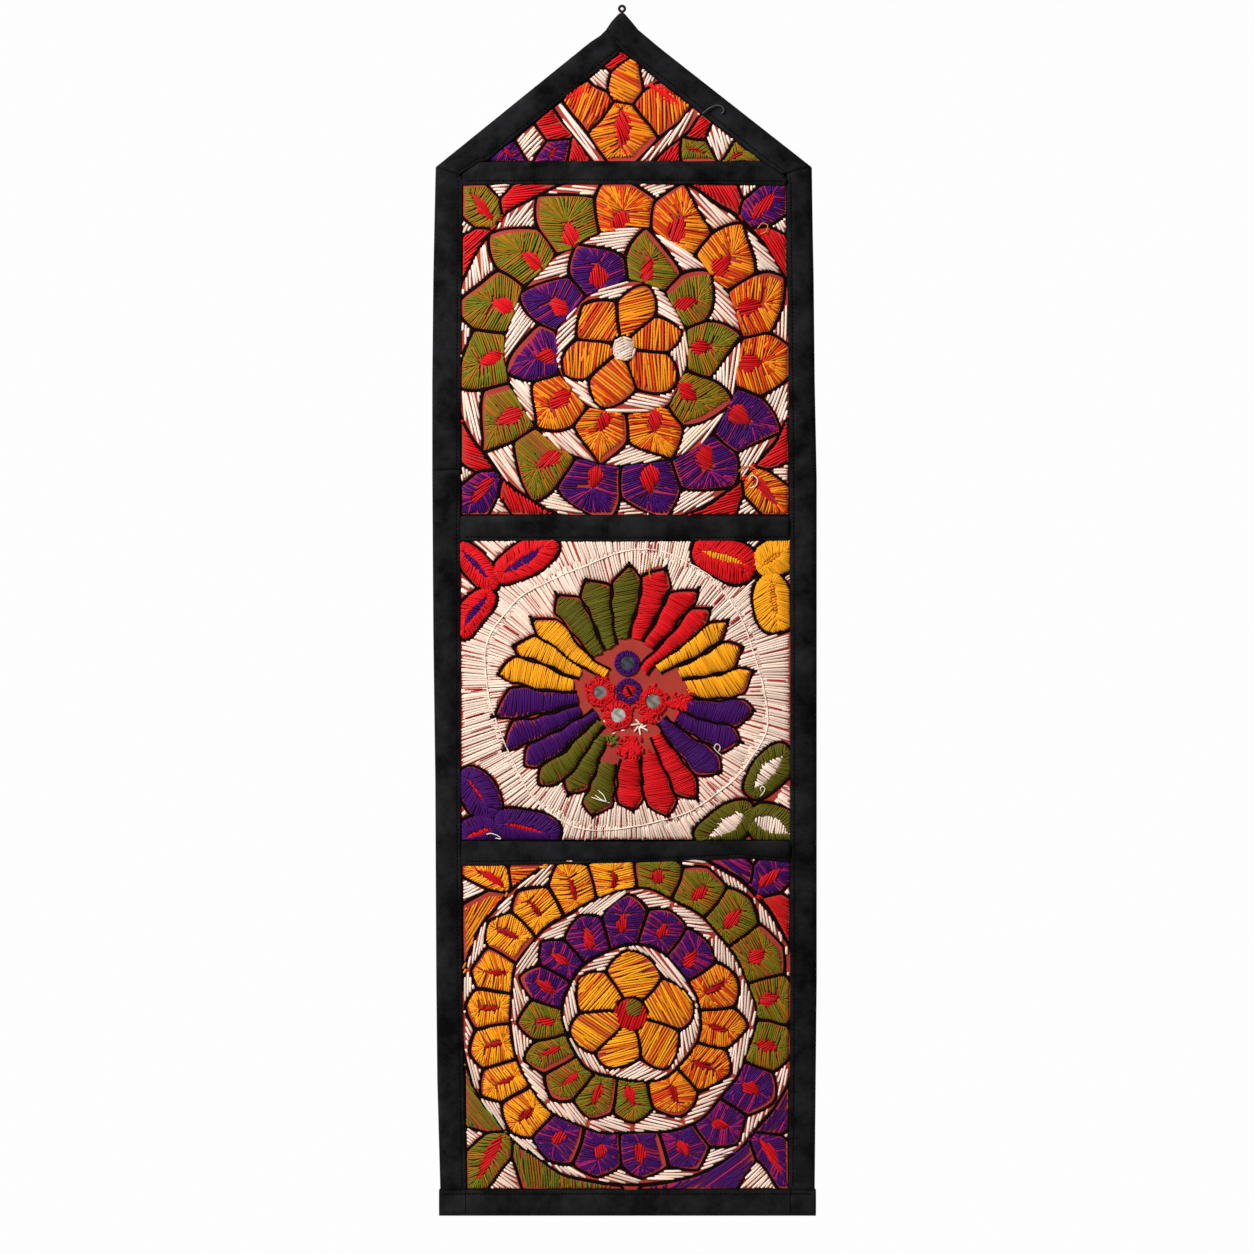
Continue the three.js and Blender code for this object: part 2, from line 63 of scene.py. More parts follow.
# %% Put the camera straight in front
LENS = 100
SENSOR = 36
PICTURE_WIDTH = 1003.2 * MM
VIEW_CENTRE = Vector((4 * MM, -7 * MM, -495.2 * MM))
camera_data = bpy.data.cameras.new("camera")
camera_data.lens = LENS
camera_data.sensor_width = SENSOR
camera = bpy.data.objects.new("camera", camera_data)
camera.location = VIEW_CENTRE - Vector((0, PICTURE_WIDTH * LENS / SENSOR, 0))
camera.rotation_euler = (math.pi / 2, 0, 0)
bpy.context.collection.objects.link(camera)
bpy.context.scene.camera = camera
print("camera distance in metres:", round(-camera.location.y, 2))

# %% [markdown]
# ## Light
# Cloth and thread show their relief under one broad lamp from the upper left, with a pale room all
# round to fill the shadows. The room is brighter behind the hanging than in front of it, so the
# background is nearly white while the lamp still models the stitches. The Standard view keeps the
# dyed threads as saturated as they are.

# %% Light the room and add two soft lamps
ROOM_FRONT = 0.11
ROOM_BACK = 0.985
LAMPS = {
    # place in metres, size in metres, power in watts
    "lamp_left": ((-1.3, -1.5, 0.7), 0.45, 68),
    "lamp_right": ((1.6, -1.8, -0.2), 1.2, 5),
}


def add_node(tree, kind, **sockets):
    """A node with some of its input sockets set."""
    node = tree.nodes.new(kind)
    for socket, value in sockets.items():
        node.inputs[socket.replace("_", " ")].default_value = value
    return node


def join(tree, *links):
    """Links nodes. Each link is a node, its output, the next node and its input."""
    for source, output, target, socket in links:
        tree.links.new(source.outputs[output], target.inputs[socket])


world = bpy.data.worlds.new("room")
world.use_nodes = True
room = world.node_tree
background = room.nodes["Background"]
background.inputs["Color"].default_value = (1, 1, 1, 1)
direction = add_node(room, "ShaderNodeTexCoord")
split = add_node(room, "ShaderNodeSeparateXYZ")
ramp = add_node(room, "ShaderNodeMapRange", From_Min=-0.3, From_Max=0.8,
                To_Min=ROOM_FRONT, To_Max=ROOM_BACK)
join(room, (direction, "Generated", split, "Vector"), (split, "Y", ramp, "Value"),
     (ramp, "Result", background, "Strength"))
bpy.context.scene.world = world
bpy.context.scene.view_settings.view_transform = "Standard"
for name, (place, size, watts) in LAMPS.items():
    lamp_data = bpy.data.lights.new(name, "AREA")
    lamp_data.size = size
    lamp_data.energy = watts
    lamp = bpy.data.objects.new(name, lamp_data)
    lamp.location = place
    aim = VIEW_CENTRE - lamp.location
    lamp.rotation_euler = aim.to_track_quat("-Z", "Y").to_euler()
    bpy.context.collection.objects.link(lamp)
print("room and", len(bpy.data.lights), "lamps")

# %% [markdown]
# ## Cloth finishes
# Black cotton is matt with a faint pale fuzz, so it gets a little sheen. Two wave patterns at
# right angles, multiplied, stand for its crossing yarns and go into the bump. Slow noise mixes a
# darker and a paler tone: uneven dye, and on the black cotton, where the two lie far apart, also
# painted shade, the soft light and dark patches of its crumples. A picture of cloth would do as
# well, but a pattern that is worked out stays sharp from any distance and needs no file.

# %% Make the finish of woven cloth
SHEEN_ROUGHNESS = 0.45
WEAVE_SCALE = 1.3 / MM / 6.28
DYE_AND_SHADE_PATCHES = 38


def slot_colour(slot, share=1.0):
    """The colour that the record gives a slot, made darker or paler by a share."""
    rows = frame["record"]["materials"]
    colour = next(row["base_color"] for row in rows if row["slot"] == slot)
    return tuple(share * part for part in colour[:3])


def start_finish(name, colour, roughness, sheen=0.0, shine=0.1):
    """A material with its colour, roughness, fuzz and shine set, and its node tree."""
    material = bpy.data.materials.new(name)
    material.use_nodes = True
    material.diffuse_color = (*colour, 1)
    shader = material.node_tree.nodes["Principled BSDF"]
    shader.inputs["Base Color"].default_value = (*colour, 1)
    shader.inputs["Roughness"].default_value = roughness
    shader.inputs["Sheen Weight"].default_value = sheen
    shader.inputs["Sheen Roughness"].default_value = SHEEN_ROUGHNESS
    shader.inputs["Specular IOR Level"].default_value = shine
    return material, material.node_tree, shader


def add_mix(tree, shader, colour, blend):
    """A colour mixer that starts from a colour and feeds the shader."""
    mix = add_node(tree, "ShaderNodeMix", Factor=1)
    mix.data_type = "RGBA"
    mix.blend_type = blend
    mix.inputs[6].default_value = (*colour, 1)
    join(tree, (mix, 2, shader, "Base Color"))
    return mix


def add_bump(tree, shader, pattern, output, strength, distance):
    """Turns a pattern into relief on the shader."""
    bump = add_node(tree, "ShaderNodeBump", Strength=strength, Distance=distance * MM)
    join(tree, (pattern, output, bump, "Height"), (bump, "Normal", shader, "Normal"))


def cloth_finish(name, slot, dark, pale, sheen):
    """Plain-woven cotton: crossing ridges of yarn, and patches of uneven dye and painted shade."""
    material, tree, shader = start_finish(name, slot_colour(slot, dark), 0.95, sheen, 0.05)
    place = add_node(tree, "ShaderNodeTexCoord")
    crossed = add_node(tree, "ShaderNodeMath")
    crossed.operation = "MULTIPLY"
    for number, axis in enumerate(("X", "Z")):
        yarn = add_node(tree, "ShaderNodeTexWave", Scale=WEAVE_SCALE, Distortion=0.6)
        yarn.bands_direction = axis
        join(tree, (place, "Object", yarn, "Vector"), (yarn, "Fac", crossed, number))
    add_bump(tree, shader, crossed, 0, 0.35, 0.15)
    dye_and_shade_noise = add_node(tree, "ShaderNodeTexNoise", Scale=DYE_AND_SHADE_PATCHES, Detail=6, Roughness=0.7)
    dye_and_shade_mix = add_node(tree, "ShaderNodeMapRange", From_Min=0.36, From_Max=0.64)
    mix = add_mix(tree, shader, slot_colour(slot, dark), "MIX")
    mix.inputs[7].default_value = (*slot_colour(slot, pale), 1)
    join(tree, (place, "Object", dye_and_shade_noise, "Vector"), (dye_and_shade_noise, "Fac", dye_and_shade_mix, "Value"),
         (dye_and_shade_mix, "Result", mix, "Factor"))
    return material


# the finish of each slot, by the slot's name
finishes = {
    # the wide spread from dark to pale on the black is partly painted shade of soft crumples
    "black_cotton": cloth_finish("black_cotton", "black_cotton", 0.2, 1.3, sheen=0.01),
    # the brick sits a little below its own colour, partly as painted shade of the gaps between
    # stitches
    "embroidered_cloth": cloth_finish("brick_cotton", "embroidered_cloth", 0.84, 1.08, sheen=0.02),
}
print("cloth finishes:", ", ".join(finishes))

# %% [markdown]
# ## Thread finishes
# Embroidery thread is stranded cotton. It shines softly, and every stitch catches the light a
# little differently. A shade stored on each stitch gives that: the material multiplies its colour
# by it, so one material serves thousands of stitches. The twist of the thread is a fine slanting
# wave along the stitch, used as bump only.


# %% Make the finish of embroidery thread
def shade_by_mesh(tree, shader, colour):
    """Multiplies a colour by the shade that is stored on the mesh."""
    shade = add_node(tree, "ShaderNodeVertexColor")
    shade.layer_name = "shade"
    join(tree, (shade, "Color", add_mix(tree, shader, colour, "MULTIPLY"), 7))


def thread_finish(slot, shine):
    """Stranded cotton: the shade kept on each stitch and a fine twist along it."""
    material, tree, shader = start_finish(slot, slot_colour(slot), 0.42, shine=shine)
    shade_by_mesh(tree, shader, slot_colour(slot))
    along = add_node(tree, "ShaderNodeUVMap")
    along.uv_map = "along"
    ply = add_node(tree, "ShaderNodeTexWave", Scale=0.5, Distortion=1.2)
    ply.bands_direction = "DIAGONAL"
    join(tree, (along, "UV", ply, "Vector"))
    add_bump(tree, shader, ply, "Fac", 0.5, 0.12)
    return material


for thread in ("orange", "gold", "red", "purple", "green", "cream", "black"):
    slot = f"thread_{thread}"
    finishes[slot] = thread_finish(slot, shine=0.0 if thread == "black" else 0.06)
print("finishes with the threads:", len(finishes))

# %% [markdown]
# ## How deep each layer lies
# The organizer is a stack sewn together at its edges: back cloth, pockets, bands and bindings. A
# pocket's front stands a few millimetres proud in the middle of its mouth and comes back to the
# seams at its sides and foot. One formula gives that depth at any place, so that the cloth, the
# bands and every stitch follow the same surface.

# %% Describe the pockets and their depth
BACKING_DEPTH = 2.35 * MM
BAND_DEPTH = 2.7 * MM
PANEL_DEPTH = 4.05 * MM
EDGE_DEPTH = 7.0 * MM
PANEL_THICK = 1.6 * MM
STRIP_THICK = 1.0 * MM
POCKET_PUFF = 9 * MM
PUFF_POWER = 2.2
FOOT_RAMP = 30 * MM
SEAM_ROOM = 0.7


def top_of(node):
    """Highest point of a CAD node."""
    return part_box(node)[1].z


# mouth and foot heights come from the bands and the foot binding; sides are the bindings' inner
# edges at the foot and at the mouth
PANELS = {
    "gable_panel": dict(mouth=-33.6 * MM, foot=top_of("band_1"), sewn=True, puffed=False,
                        left=(-109.6, 0), right=(113.7, 0)),
    "pocket_1": dict(mouth=top_of("band_1"), foot=top_of("band_2"), sewn=True, puffed=True,
                     left=(-129.6, -128.0), right=(134.4, 132.0)),
    "pocket_2": dict(mouth=top_of("band_2"), foot=top_of("band_3"), sewn=True, puffed=True,
                     left=(-128.9, -129.6), right=(135.2, 134.4)),
    "pocket_3": dict(mouth=top_of("band_3"), foot=top_of("binding_foot"), sewn=False, puffed=True,
                     left=(-124.8, -128.9), right=(133.6, 135.2)),
}


def side_edges(panel, z):
    """x of the left and right edges of a panel's open face at a height."""
    rise = np.clip((z - panel["foot"]) / (panel["mouth"] - panel["foot"]), 0, 1)
    left, right = (
        (panel[side][0] + (panel[side][1] - panel[side][0]) * rise) * MM
        for side in ("left", "right")
    )
    return left, right, rise


def puff(panel, x, z):
    """How far the cloth of a pocket stands out beyond its seams."""
    left, right, rise = side_edges(panel, z)
    across = np.clip((2 * x - left - right) / np.maximum(right - left, MM), -1, 1)
    full = POCKET_PUFF if panel["puffed"] else 0
    return full * (1 - (1 - rise) ** PUFF_POWER) * (1 - across**2)


def ripple(x, z):
    """The slight unevenness that dense stitching gives a cloth."""
    slow = np.sin(x / (17 * MM) + 1.3 * np.sin(z / (29 * MM))) * np.cos(z / (21 * MM) + 0.7)
    quick = np.sin(x / (7 * MM) - z / (9 * MM)) * np.cos(x / (11 * MM) + z / (6 * MM))
    return 0.22 * MM * slow + 0.1 * MM * quick


def face_depth(name, x, z):
    """Depth of a panel's front face from the wall. Stitches on the border bring their own."""
    if name == "border":
        return 0 * x
    panel = PANELS[name]
    seam = panel["foot"] + SEAM_ROOM * MM
    sewn = np.clip((z - seam) / FOOT_RAMP, 0, 1) if panel["sewn"] else 1
    back = BAND_DEPTH + (PANEL_DEPTH - BAND_DEPTH) * sewn
    return back + puff(panel, x, z) + PANEL_THICK + ripple(x, z)


middle = face_depth("pocket_1", np.array([2 * MM]), np.array([-150 * MM]))
print("the first pocket stands", round(float(middle[0]) / MM, 1), "mm from the wall near its mouth")

# %% [markdown]
# ## Cloth sheets
# A sheet of cloth is two fine grids, its front and its back, joined round the rim. Building the
# grid between a left and a right edge that change with height lets one helper cut all the
# sheets: the back cloth, the gable triangle and the three pockets.


# %% Build a sheet between two uneven edges
def make_piece(name, points, faces, slot, node=None):
    """A smooth mesh that hangs with the CAD part, with a slot's finish, in a node's place if given."""
    mesh = bpy.data.meshes.new(name)
    faces = faces.tolist() if isinstance(faces, np.ndarray) else faces
    mesh.from_pydata(np.asarray(points).tolist(), [], faces)
    mesh.polygons.foreach_set("use_smooth", [True] * len(mesh.polygons))
    mesh.materials.append(finishes[slot])
    piece = bpy.data.objects.new(name, mesh)
    bpy.context.collection.objects.link(piece)
    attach(piece, "root")
    if node:
        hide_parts(node)
    return piece


def grid_faces(rows, columns, closed=False):
    """Quads over a grid of points, row after row, closed round each row if asked."""
    row, column = np.meshgrid(
        np.arange(rows - 1), np.arange(columns if closed else columns - 1), indexing="ij"
    )
    here = row * columns + column
    beside = row * columns + (column + 1) % columns
    return np.stack([here, beside, beside + columns, here + columns], axis=-1).reshape(-1, 4)


def make_sheet(name, node, left, right, depth, thick, step, slot):
    """Cloth between two edges, each a list of (z, x) in millimetres from the top down."""
    top, foot = left[0][0] * MM, left[-1][0] * MM
    rows = int((top - foot) / step) + 2
    z = np.linspace(top, foot, rows)
    edges = [
        np.interp(-z, [-at * MM for at, _ in edge], [x * MM for _, x in edge])
        for edge in (left, right)
    ]
    columns = int((edges[1] - edges[0]).max() / step) + 2
    share = np.linspace(0, 1, columns)
    x = edges[0][:, None] * (1 - share) + edges[1][:, None] * share
    z = np.repeat(z[:, None], columns, axis=1)
    front = np.stack([x, -depth(x, z), z], axis=-1).reshape(-1, 3)
    back = front + np.array([0, thick, 0])
    faces = grid_faces(rows, columns)
    rim = np.concatenate([
        np.arange(columns),
        np.arange(1, rows) * columns + columns - 1,
        (rows - 1) * columns + np.arange(columns - 2, -1, -1),
        np.arange(rows - 2, 0, -1) * columns,
    ])
    following = np.roll(rim, -1)
    shift = len(front)
    sides = np.stack([following, rim, rim + shift, following + shift], axis=-1)
    faces = np.concatenate([faces[:, ::-1], faces + shift, sides])
    print(name, rows, "by", columns, "points a side")
    return make_piece(name, np.concatenate([front, back]), faces, slot, node)


print("a grid of 3 by 4 points has", len(grid_faces(3, 4)), "faces")

# %% [markdown]
# ## The back cloth
# A plain piece of the same black cotton closes the hanging towards the wall. Its raw edges end
# inside the bindings, so its outline follows theirs a few millimetres further in. It is nearly
# flat, and a coarse grid is enough.

# %% Cut the back cloth
BACKING_LEFT = [(-20.5, -0.6), (-129.5, -144.5), (-300, -147.2), (-500, -146.4), (-780, -143.9),
                (-962, -141.2)]
BACKING_RIGHT = [(-20.5, 0.6), (-129.5, 147.3), (-300, 149.4), (-500, 151.2), (-780, 151.2),
                 (-962, 149.9)]
back_cloth = make_sheet(
    "back_cloth_plain", "back_cloth", BACKING_LEFT, BACKING_RIGHT,
    depth=lambda x, z: BACKING_DEPTH + 0.5 * ripple(x, z), thick=STRIP_THICK, step=6 * MM,
    slot="black_cotton",
)

# %% [markdown]
# ## The four embroidered panels
# The ground of the embroidery is brick-red cotton. Each panel is cut a little larger than the face
# that shows: its sides run in under the bindings and its mouth in under the folded band. The first
# pocket is cut in steps at its upper corners, because the hanging narrows there.

# %% Cut the four embroidered panels
HIDDEN = 8
UNDER_FOLD = 3
panel_cloths = {}
for name, panel in PANELS.items():
    foot = panel["foot"] / MM + (SEAM_ROOM if panel["sewn"] else -HIDDEN)
    mouth = panel["mouth"] / MM - UNDER_FOLD
    left = [(mouth, panel["left"][1] - HIDDEN), (foot, panel["left"][0] - HIDDEN)]
    right = [(mouth, panel["right"][1] + HIDDEN), (foot, panel["right"][0] + HIDDEN)]
    if name == "gable_panel":
        left = [(-24.5, -1.2), (foot, -122)]
        right = [(-24.5, 1.2), (foot, 124)]
    elif name == "pocket_1":
        left = [(mouth, -112.8), (-136.4, -128), (-141.8, -136), (foot, -137.6)]
        right = [(mouth, 112.4), (-139.1, 132), (-144.4, 140), (foot, 142.4)]
    panel_cloths[name] = make_sheet(
        f"{name}_cloth", name, left, right, lambda x, z, at=name: face_depth(at, x, z),
        thick=PANEL_THICK, step=3 * MM, slot="embroidered_cloth",
    )

# %% [markdown]
# ## Bindings and bands
# Each is a strip of cotton folded in a U: the bindings round the raw edges of the hanging, the
# bands over the mouths of the pockets. A maker topstitches the open edge, so a line of small
# dents runs along it with a soft ridge beside it, and the cloth puckers between the stitches.
# The first step is the folded section, with slow crumples and a few listed creases added to
# the depth of its front leg.

# %% Shape the folded section
TOPSTITCH_INSET = 3.0 * MM
TOPSTITCH_PITCH = 3.1 * MM
TOPSTITCH_LENGTH = 2.3 * MM
PUCKER = 0.3 * MM
PUCKER_STEP = 7 * MM
CRUMPLE = 0.5 * MM
CROWN = 0.6 * MM
LOWEST = 0.12 * MM
CREASES = [
    # x, z, direction clockwise from up, half length, depth, all in millimetres or degrees
    (-141, -369.8, 91, 13, 0.9), (145, -433, 78, 9, 1.0), (143, -403, 95, 8, 0.6),
    (-140, -697, 72, 9, 0.8), (-140, -402, 60, 8, 0.6), (-3, -15.5, 92, 7, 1.1),
    (-22, -33, 70, 8, 0.6), (-132, -120, 75, 9, 0.7), (143, -612, 100, 9, 0.7),
    (-141, -560, 105, 8, 0.6), (146, -880, 80, 8, 0.7), (-137, -905, 98, 8, 0.7),
    (60, -62, 160, 8, 0.6), (40, -957, 20, 7, 0.6), (-60, -956, 165, 7, 0.6),
    (0, -414, 15, 7, 0.6), (-125, -956, 0, 14, 0.9), (134, -956, 0, 14, 0.9),
    (-9, -21, 135, 9, 0.8), (-60, -678, 170, 7, 0.6), (90, -130, 20, 6, 0.6),
]
# a crease is a fold pushed up beside a furrow: place across it, breadth and share of its depth
CREASE_WAVES = ((2.8, 2.2, 1.1), (-3, 2.2, 0.5), (0, 1.2, -1.2))


def crumple(x, z):
    """Slow unevenness of the black cotton in waves a few millimetres long, with the creases."""
    x, z = x / MM, z / MM
    lift = math.sin(x / 6.1 + z / 8.3 + 2.1 * math.sin(z / 31)) + math.sin(z / 5.3 - x / 11 + 1.7)
    lift += 0.8 * math.sin(x / 9.7 - z / 4.1 + math.sin(x / 23)) + 0.7 * math.sin((x + z) / 4.4)
    lift += 0.6 * math.sin(z / 2.6 + 1.2 * math.sin(x / 3.1)) * math.sin(x / 3.4 - z / 5.9 + 2)
    lift += 0.5 * math.sin((x - z) / 2.9 + 1.5 * math.sin(z / 7)) * math.sin(z / 12 + x / 40)
    lift = (lift + 1.4) * CRUMPLE
    for at_x, at_z, turn, half, deep in CREASES:
        if abs(x - at_x) < 20 and abs(z - at_z) < 20:
            east, north = math.sin(math.radians(turn)), math.cos(math.radians(turn))
            along = (x - at_x) * east + (z - at_z) * north
            off = (x - at_x) * north - (z - at_z) * east
            wave = sum(part * math.exp(-(((off - at) / broad) ** 2))
                       for at, broad, part in CREASE_WAVES)
            lift += deep * MM * math.exp(-((along / half) ** 2)) * wave
    return (lift + math.sqrt(lift**2 + (0.5 * MM) ** 2)) / 2 - LOWEST


def leg_depth(front, deep, reach):
    """Depth of the front leg at a distance from the fold, and how much it puckers there."""
    share = reach / front
    dent = math.exp(-(((front - reach - TOPSTITCH_INSET) / (1.0 * MM)) ** 2))
    ridge = math.exp(-(((front - reach - 0.9 * MM) / (1.0 * MM)) ** 2))
    crown = CROWN * math.sin(math.pi * min(1, share * 1.05)) - 0.3 * MM * dent + 0.45 * MM * ridge
    return deep + crown, math.sin(math.pi * min(1, share)) ** 0.8


def fold_turn(outer, radius, centre, angles):
    """The round of the fold, as (distance in, depth, share of the pucker)."""
    return [(outer - radius * math.cos(a), centre + radius * math.sin(a), 0)
            for a in np.radians(angles)]


def fold_section(front, back, deep, shallow):
    """The U as (distance in from the fold, depth, share of the pucker), outside then inside."""
    outer = (deep - shallow) / 2
    centre = (deep + shallow) / 2
    turn = np.linspace(-90, 90, 9)[1:-1]
    outside = [(back + (outer - back) * s, shallow, 0) for s in np.linspace(0, 1, 4)]
    outside += fold_turn(outer, outer, centre, turn)
    dents = front - TOPSTITCH_INSET + np.array([-1.2, 0, 1.2]) * MM
    reaches = np.concatenate([np.linspace(outer, front - 5.4 * MM, 8), dents, [front]])
    outside += [(reach, *leg_depth(front, deep, reach)) for reach in reaches]
    lip = (front + 0.25 * MM, deep - STRIP_THICK / 2, 0.3)
    inside = [(s, d - STRIP_THICK, p) for s, d, p in outside[-1:-13:-2]]
    inside += fold_turn(outer, outer - STRIP_THICK, centre, turn[::-2])
    inside += [(outer, shallow + STRIP_THICK, 0), (back, shallow + STRIP_THICK, 0)]
    return outside + [lip] + inside


print("a section has", len(fold_section(20 * MM, 20 * MM, EDGE_DEPTH, 0)), "points, and",
      len(CREASES), "creases are placed by hand")

# %% [markdown]
# ## From a section to a strip
# The section is set at many places along the fold line, and each is joined to the next. A curve
# with a bevel would be quicker, but here the section grows and shrinks with the width of the
# binding, and every place has its own crumples and puckers. The topstitches are noted on the way
# and become real stitches later, laid in the dent.

# %% Sweep the section along a fold
strips = {}
topstitches = []


def reach_along(path):
    """The distance of each point of a path from its start, measured along the path."""
    return np.concatenate([[0], np.cumsum(np.hypot(*(path[1:] - path[:-1]).T))])


def make_strip(node, rows, back_width, shallow, extra, seed, step=3 * MM):
    """Sweeps a folded strip. rows: (fold x, fold z, inner x, inner z) in millimetres."""
    rows = np.array(rows, float) * MM
    reach = reach_along((rows[:, :2] + rows[:, 2:]) / 2)
    count = max(2, int(reach[-1] / step) + 1)
    places = np.unique(np.concatenate([np.linspace(0, reach[-1], count), reach]))
    line = np.stack([np.interp(places, reach, column) for column in rows.T], axis=1)
    pull = np.random.default_rng(seed)
    knots = np.arange(0, places[-1] + PUCKER_STEP, PUCKER_STEP)
    swell = np.interp(places, knots, np.abs(pull.normal(0, PUCKER, len(knots))))
    points = []
    for (fold_x, fold_z, inner_x, inner_z), lift in zip(line, swell):
        width = math.hypot(inner_x - fold_x, inner_z - fold_z)
        to_x, to_z = (inner_x - fold_x) / width, (inner_z - fold_z) / width
        for s, depth, share in fold_section(width, back_width or width, EDGE_DEPTH, shallow):
            x, z = fold_x + to_x * s, fold_z + to_z * s
            soft = share * (lift + crumple(x, z)) if share else 0
            points.append((x, -(depth + soft + extra(x, z)), z))
    for place in np.arange(4 * MM, places[-1] - 4 * MM, TOPSTITCH_PITCH):
        ends = []
        for at in (place, place + TOPSTITCH_LENGTH):
            fold_x, fold_z, inner_x, inner_z = (np.interp(at, places, c) for c in line.T)
            width = math.hypot(inner_x - fold_x, inner_z - fold_z)
            part = 1 - (TOPSTITCH_INSET + pull.normal(0, 0.15) * MM) / width
            x, z = fold_x + (inner_x - fold_x) * part, fold_z + (inner_z - fold_z) * part
            depth, share = leg_depth(width, EDGE_DEPTH, width * part)
            lift = float(np.interp(at, places, swell)) + crumple(x, z)
            ends.append((x, z, (depth + share * lift + extra(x, z)) / MM))
        topstitches.append(ends)
    size = len(points) // len(line)
    last = (len(line) - 1) * size
    faces = grid_faces(len(line), size, closed=True).tolist()
    faces += [list(range(size))[::-1], [last + i for i in range(size)]]
    piece = make_piece(f"{node}_cotton", points, faces, "black_cotton", node)
    strips[node] = piece, places[-1]
    print(node, "swept over", round(places[-1] / MM), "mm in", len(line), "sections")


# %% [markdown]
# ## The bindings
# A binding covers a raw edge from both sides. The one on the left is pieced from two lengths that
# meet below the shoulder, and the two slanting ones meet at the tip, where the right one laps over
# the left. Rows along the edge give the fold and the inner edge, so that the width can change as
# it does on hand-sewn work.

# %% Fold the bindings round the edges
BINDINGS = {
    # fold x and z, inner edge x and z, in millimetres
    "binding_left_upper": [
        (-149.3, -127.2, -128.0, -135.1), (-150.4, -177.6, -128.4, -177.6),
        (-151.2, -217.6, -128.8, -217.6), (-152.0, -297.6, -129.3, -297.6),
        (-152.0, -370.2, -129.5, -369.4)],
    "binding_left_lower": [
        (-152.0, -370.2, -129.5, -369.4), (-151.2, -497.6, -129.6, -497.6),
        (-149.6, -617.6, -129.4, -617.6), (-148.8, -777.6, -128.4, -777.6),
        (-148.0, -857.6, -126.8, -857.6), (-145.6, -945.2, -124.8, -945.2)],
    "binding_right": [
        (152.1, -127.2, 132.0, -132.5), (152.8, -177.6, 132.2, -177.6),
        (153.6, -217.6, 132.6, -217.6), (154.4, -297.6, 133.4, -297.6),
        (156.0, -377.6, 134.2, -377.6), (156.0, -497.6, 134.8, -497.6),
        (156.0, -777.6, 134.8, -777.6), (155.2, -857.6, 134.2, -857.6),
        (154.4, -945.2, 133.6, -945.2)],
    "binding_gable_left": [
        (-149.2, -126.8, -130.8, -133.6), (-137.0, -116.9, -122.2, -128.0),
        (-127.3, -109.1, -113.6, -122.4), (-121.5, -104.4, -108.0, -121.6),
        (-25.6, -26.8, -12.0, -43.4), (-17.4, -21.4, -5.2, -37.9), (-13.4, -17.4, -0.3, -33.8)],
    "binding_gable_right": [
        (151.8, -126.8, 128.8, -132.8), (140.0, -117.4, 121.5, -128.0),
        (126.3, -106.7, 113.6, -122.8), (30.4, -31.4, 17.7, -47.5), (13.0, -16.8, 0.0, -33.6),
        (7.2, -9.6, -1.3, -32.0), (1.9, -3.6, -2.6, -30.3), (-2.3, -3.6, -4.2, -28.4),
        (-8.0, -9.6, -6.6, -25.3), (-13.1, -17.2, -9.2, -22.1)],
    "binding_foot": [
        (-146.4, -966.8, -146.4, -945.6), (155.2, -966.8, 155.2, -945.6)],
}
for number, (name, rows) in enumerate(BINDINGS.items()):
    make_strip(name, rows, None, 0.0, lambda x, z: 0.0, seed=20 + number)

# %% [markdown]
# ## The bands over the mouths
# A pocket's mouth is bound with a folded band that opens downwards, over the upper edge of the
# embroidery. It bulges with the pocket, so the pocket's own formula is added to its depth. The
# lower edges were cut and sewn by hand and aren't quite straight, which the third band shows most.

# %% Fold the bands over the mouths
BAND_BACK = 12 * MM
BANDS = {
    # x, z of the fold above and of the lower edge, in millimetres
    "band_1": [(-127.7, -132.3, -141.4), (-114.2, -123.3, -141.4), (113.4, -123.3, -141.8),
               (131.7, -135.2, -141.8)],
    "band_2": [(-129.2, -406.4, -426.0), (2.0, -406.0, -426.8), (134.0, -406.8, -426.0)],
    "band_3": [(-128.6, -666.4, -685.6), (-2.0, -666.8, -683.2), (94.4, -666.0, -679.4),
               (134.7, -666.4, -683.2)],
}
for number, (name, rows) in enumerate(BANDS.items()):
    make_strip(name, [(x, top, x, bottom) for x, top, bottom in rows], BAND_BACK, BAND_DEPTH,
               lambda x, z, at=PANELS[f"pocket_{number + 1}"]: float(puff(at, x, z)),
               seed=40 + number)

# %% [markdown]
# ## Stitches
# Every stitch is a real strand: half a tube that dips into the cloth at both ends and arches
# between them. They are collected panel by panel and thread by thread, and each collection becomes
# one mesh, worked out for all its stitches at once. A little is drawn at random for each: its
# width, how far its ends stray, and its shade. Thread that was dyed in runs, or two threads used
# together, shows as odd strands between the usual ones. In orange and gold the dark odd strands
# are partly painted shade: they stand for the dark lines that fall between the strands.

# %% Collect stitches and turn them into strands
LENGTH_SHARES = np.array([0, 0.05, 0.2, 0.5, 0.8, 0.95, 1.0])
WIDTH_SHARES = np.array([0.45, 0.85, 1.0, 1.0, 1.0, 0.85, 0.45])
ROUND_ANGLES = np.radians([0, 45, 90, 135, 180])
DIP = 0.5 * MM
STRAND_HEIGHT = 0.6
draw = np.random.default_rng(1234)
collections = {}
TINTS = {
    # the tint of most stitches, that of the odd strand between them (in orange and gold partly painted
    # shade between strands), and how many are odd
    "orange": ((1.18, 1.05, 0.7), (0.95, 0.24, 0.4), 0.38),
    "gold": ((1.16, 1.0, 0.5), (0.95, 0.42, 0.4), 0.24),
    "red": ((1.0, 1.0, 0.5), (0.95, 2.2, 0.9), 0.12),
    "purple": ((0.82, 0.68, 0.78), (5.0, 1.2, 0.75), 0.22),
    "green": ((1.05, 1.0, 0.9), (2.1, 0.85, 0.7), 0.45),
    "cream": ((1.08, 0.92, 0.96), (1.02, 0.82, 0.78), 0.3),
    "black": ((1, 1, 1), (1, 1, 1), 0.0),
}


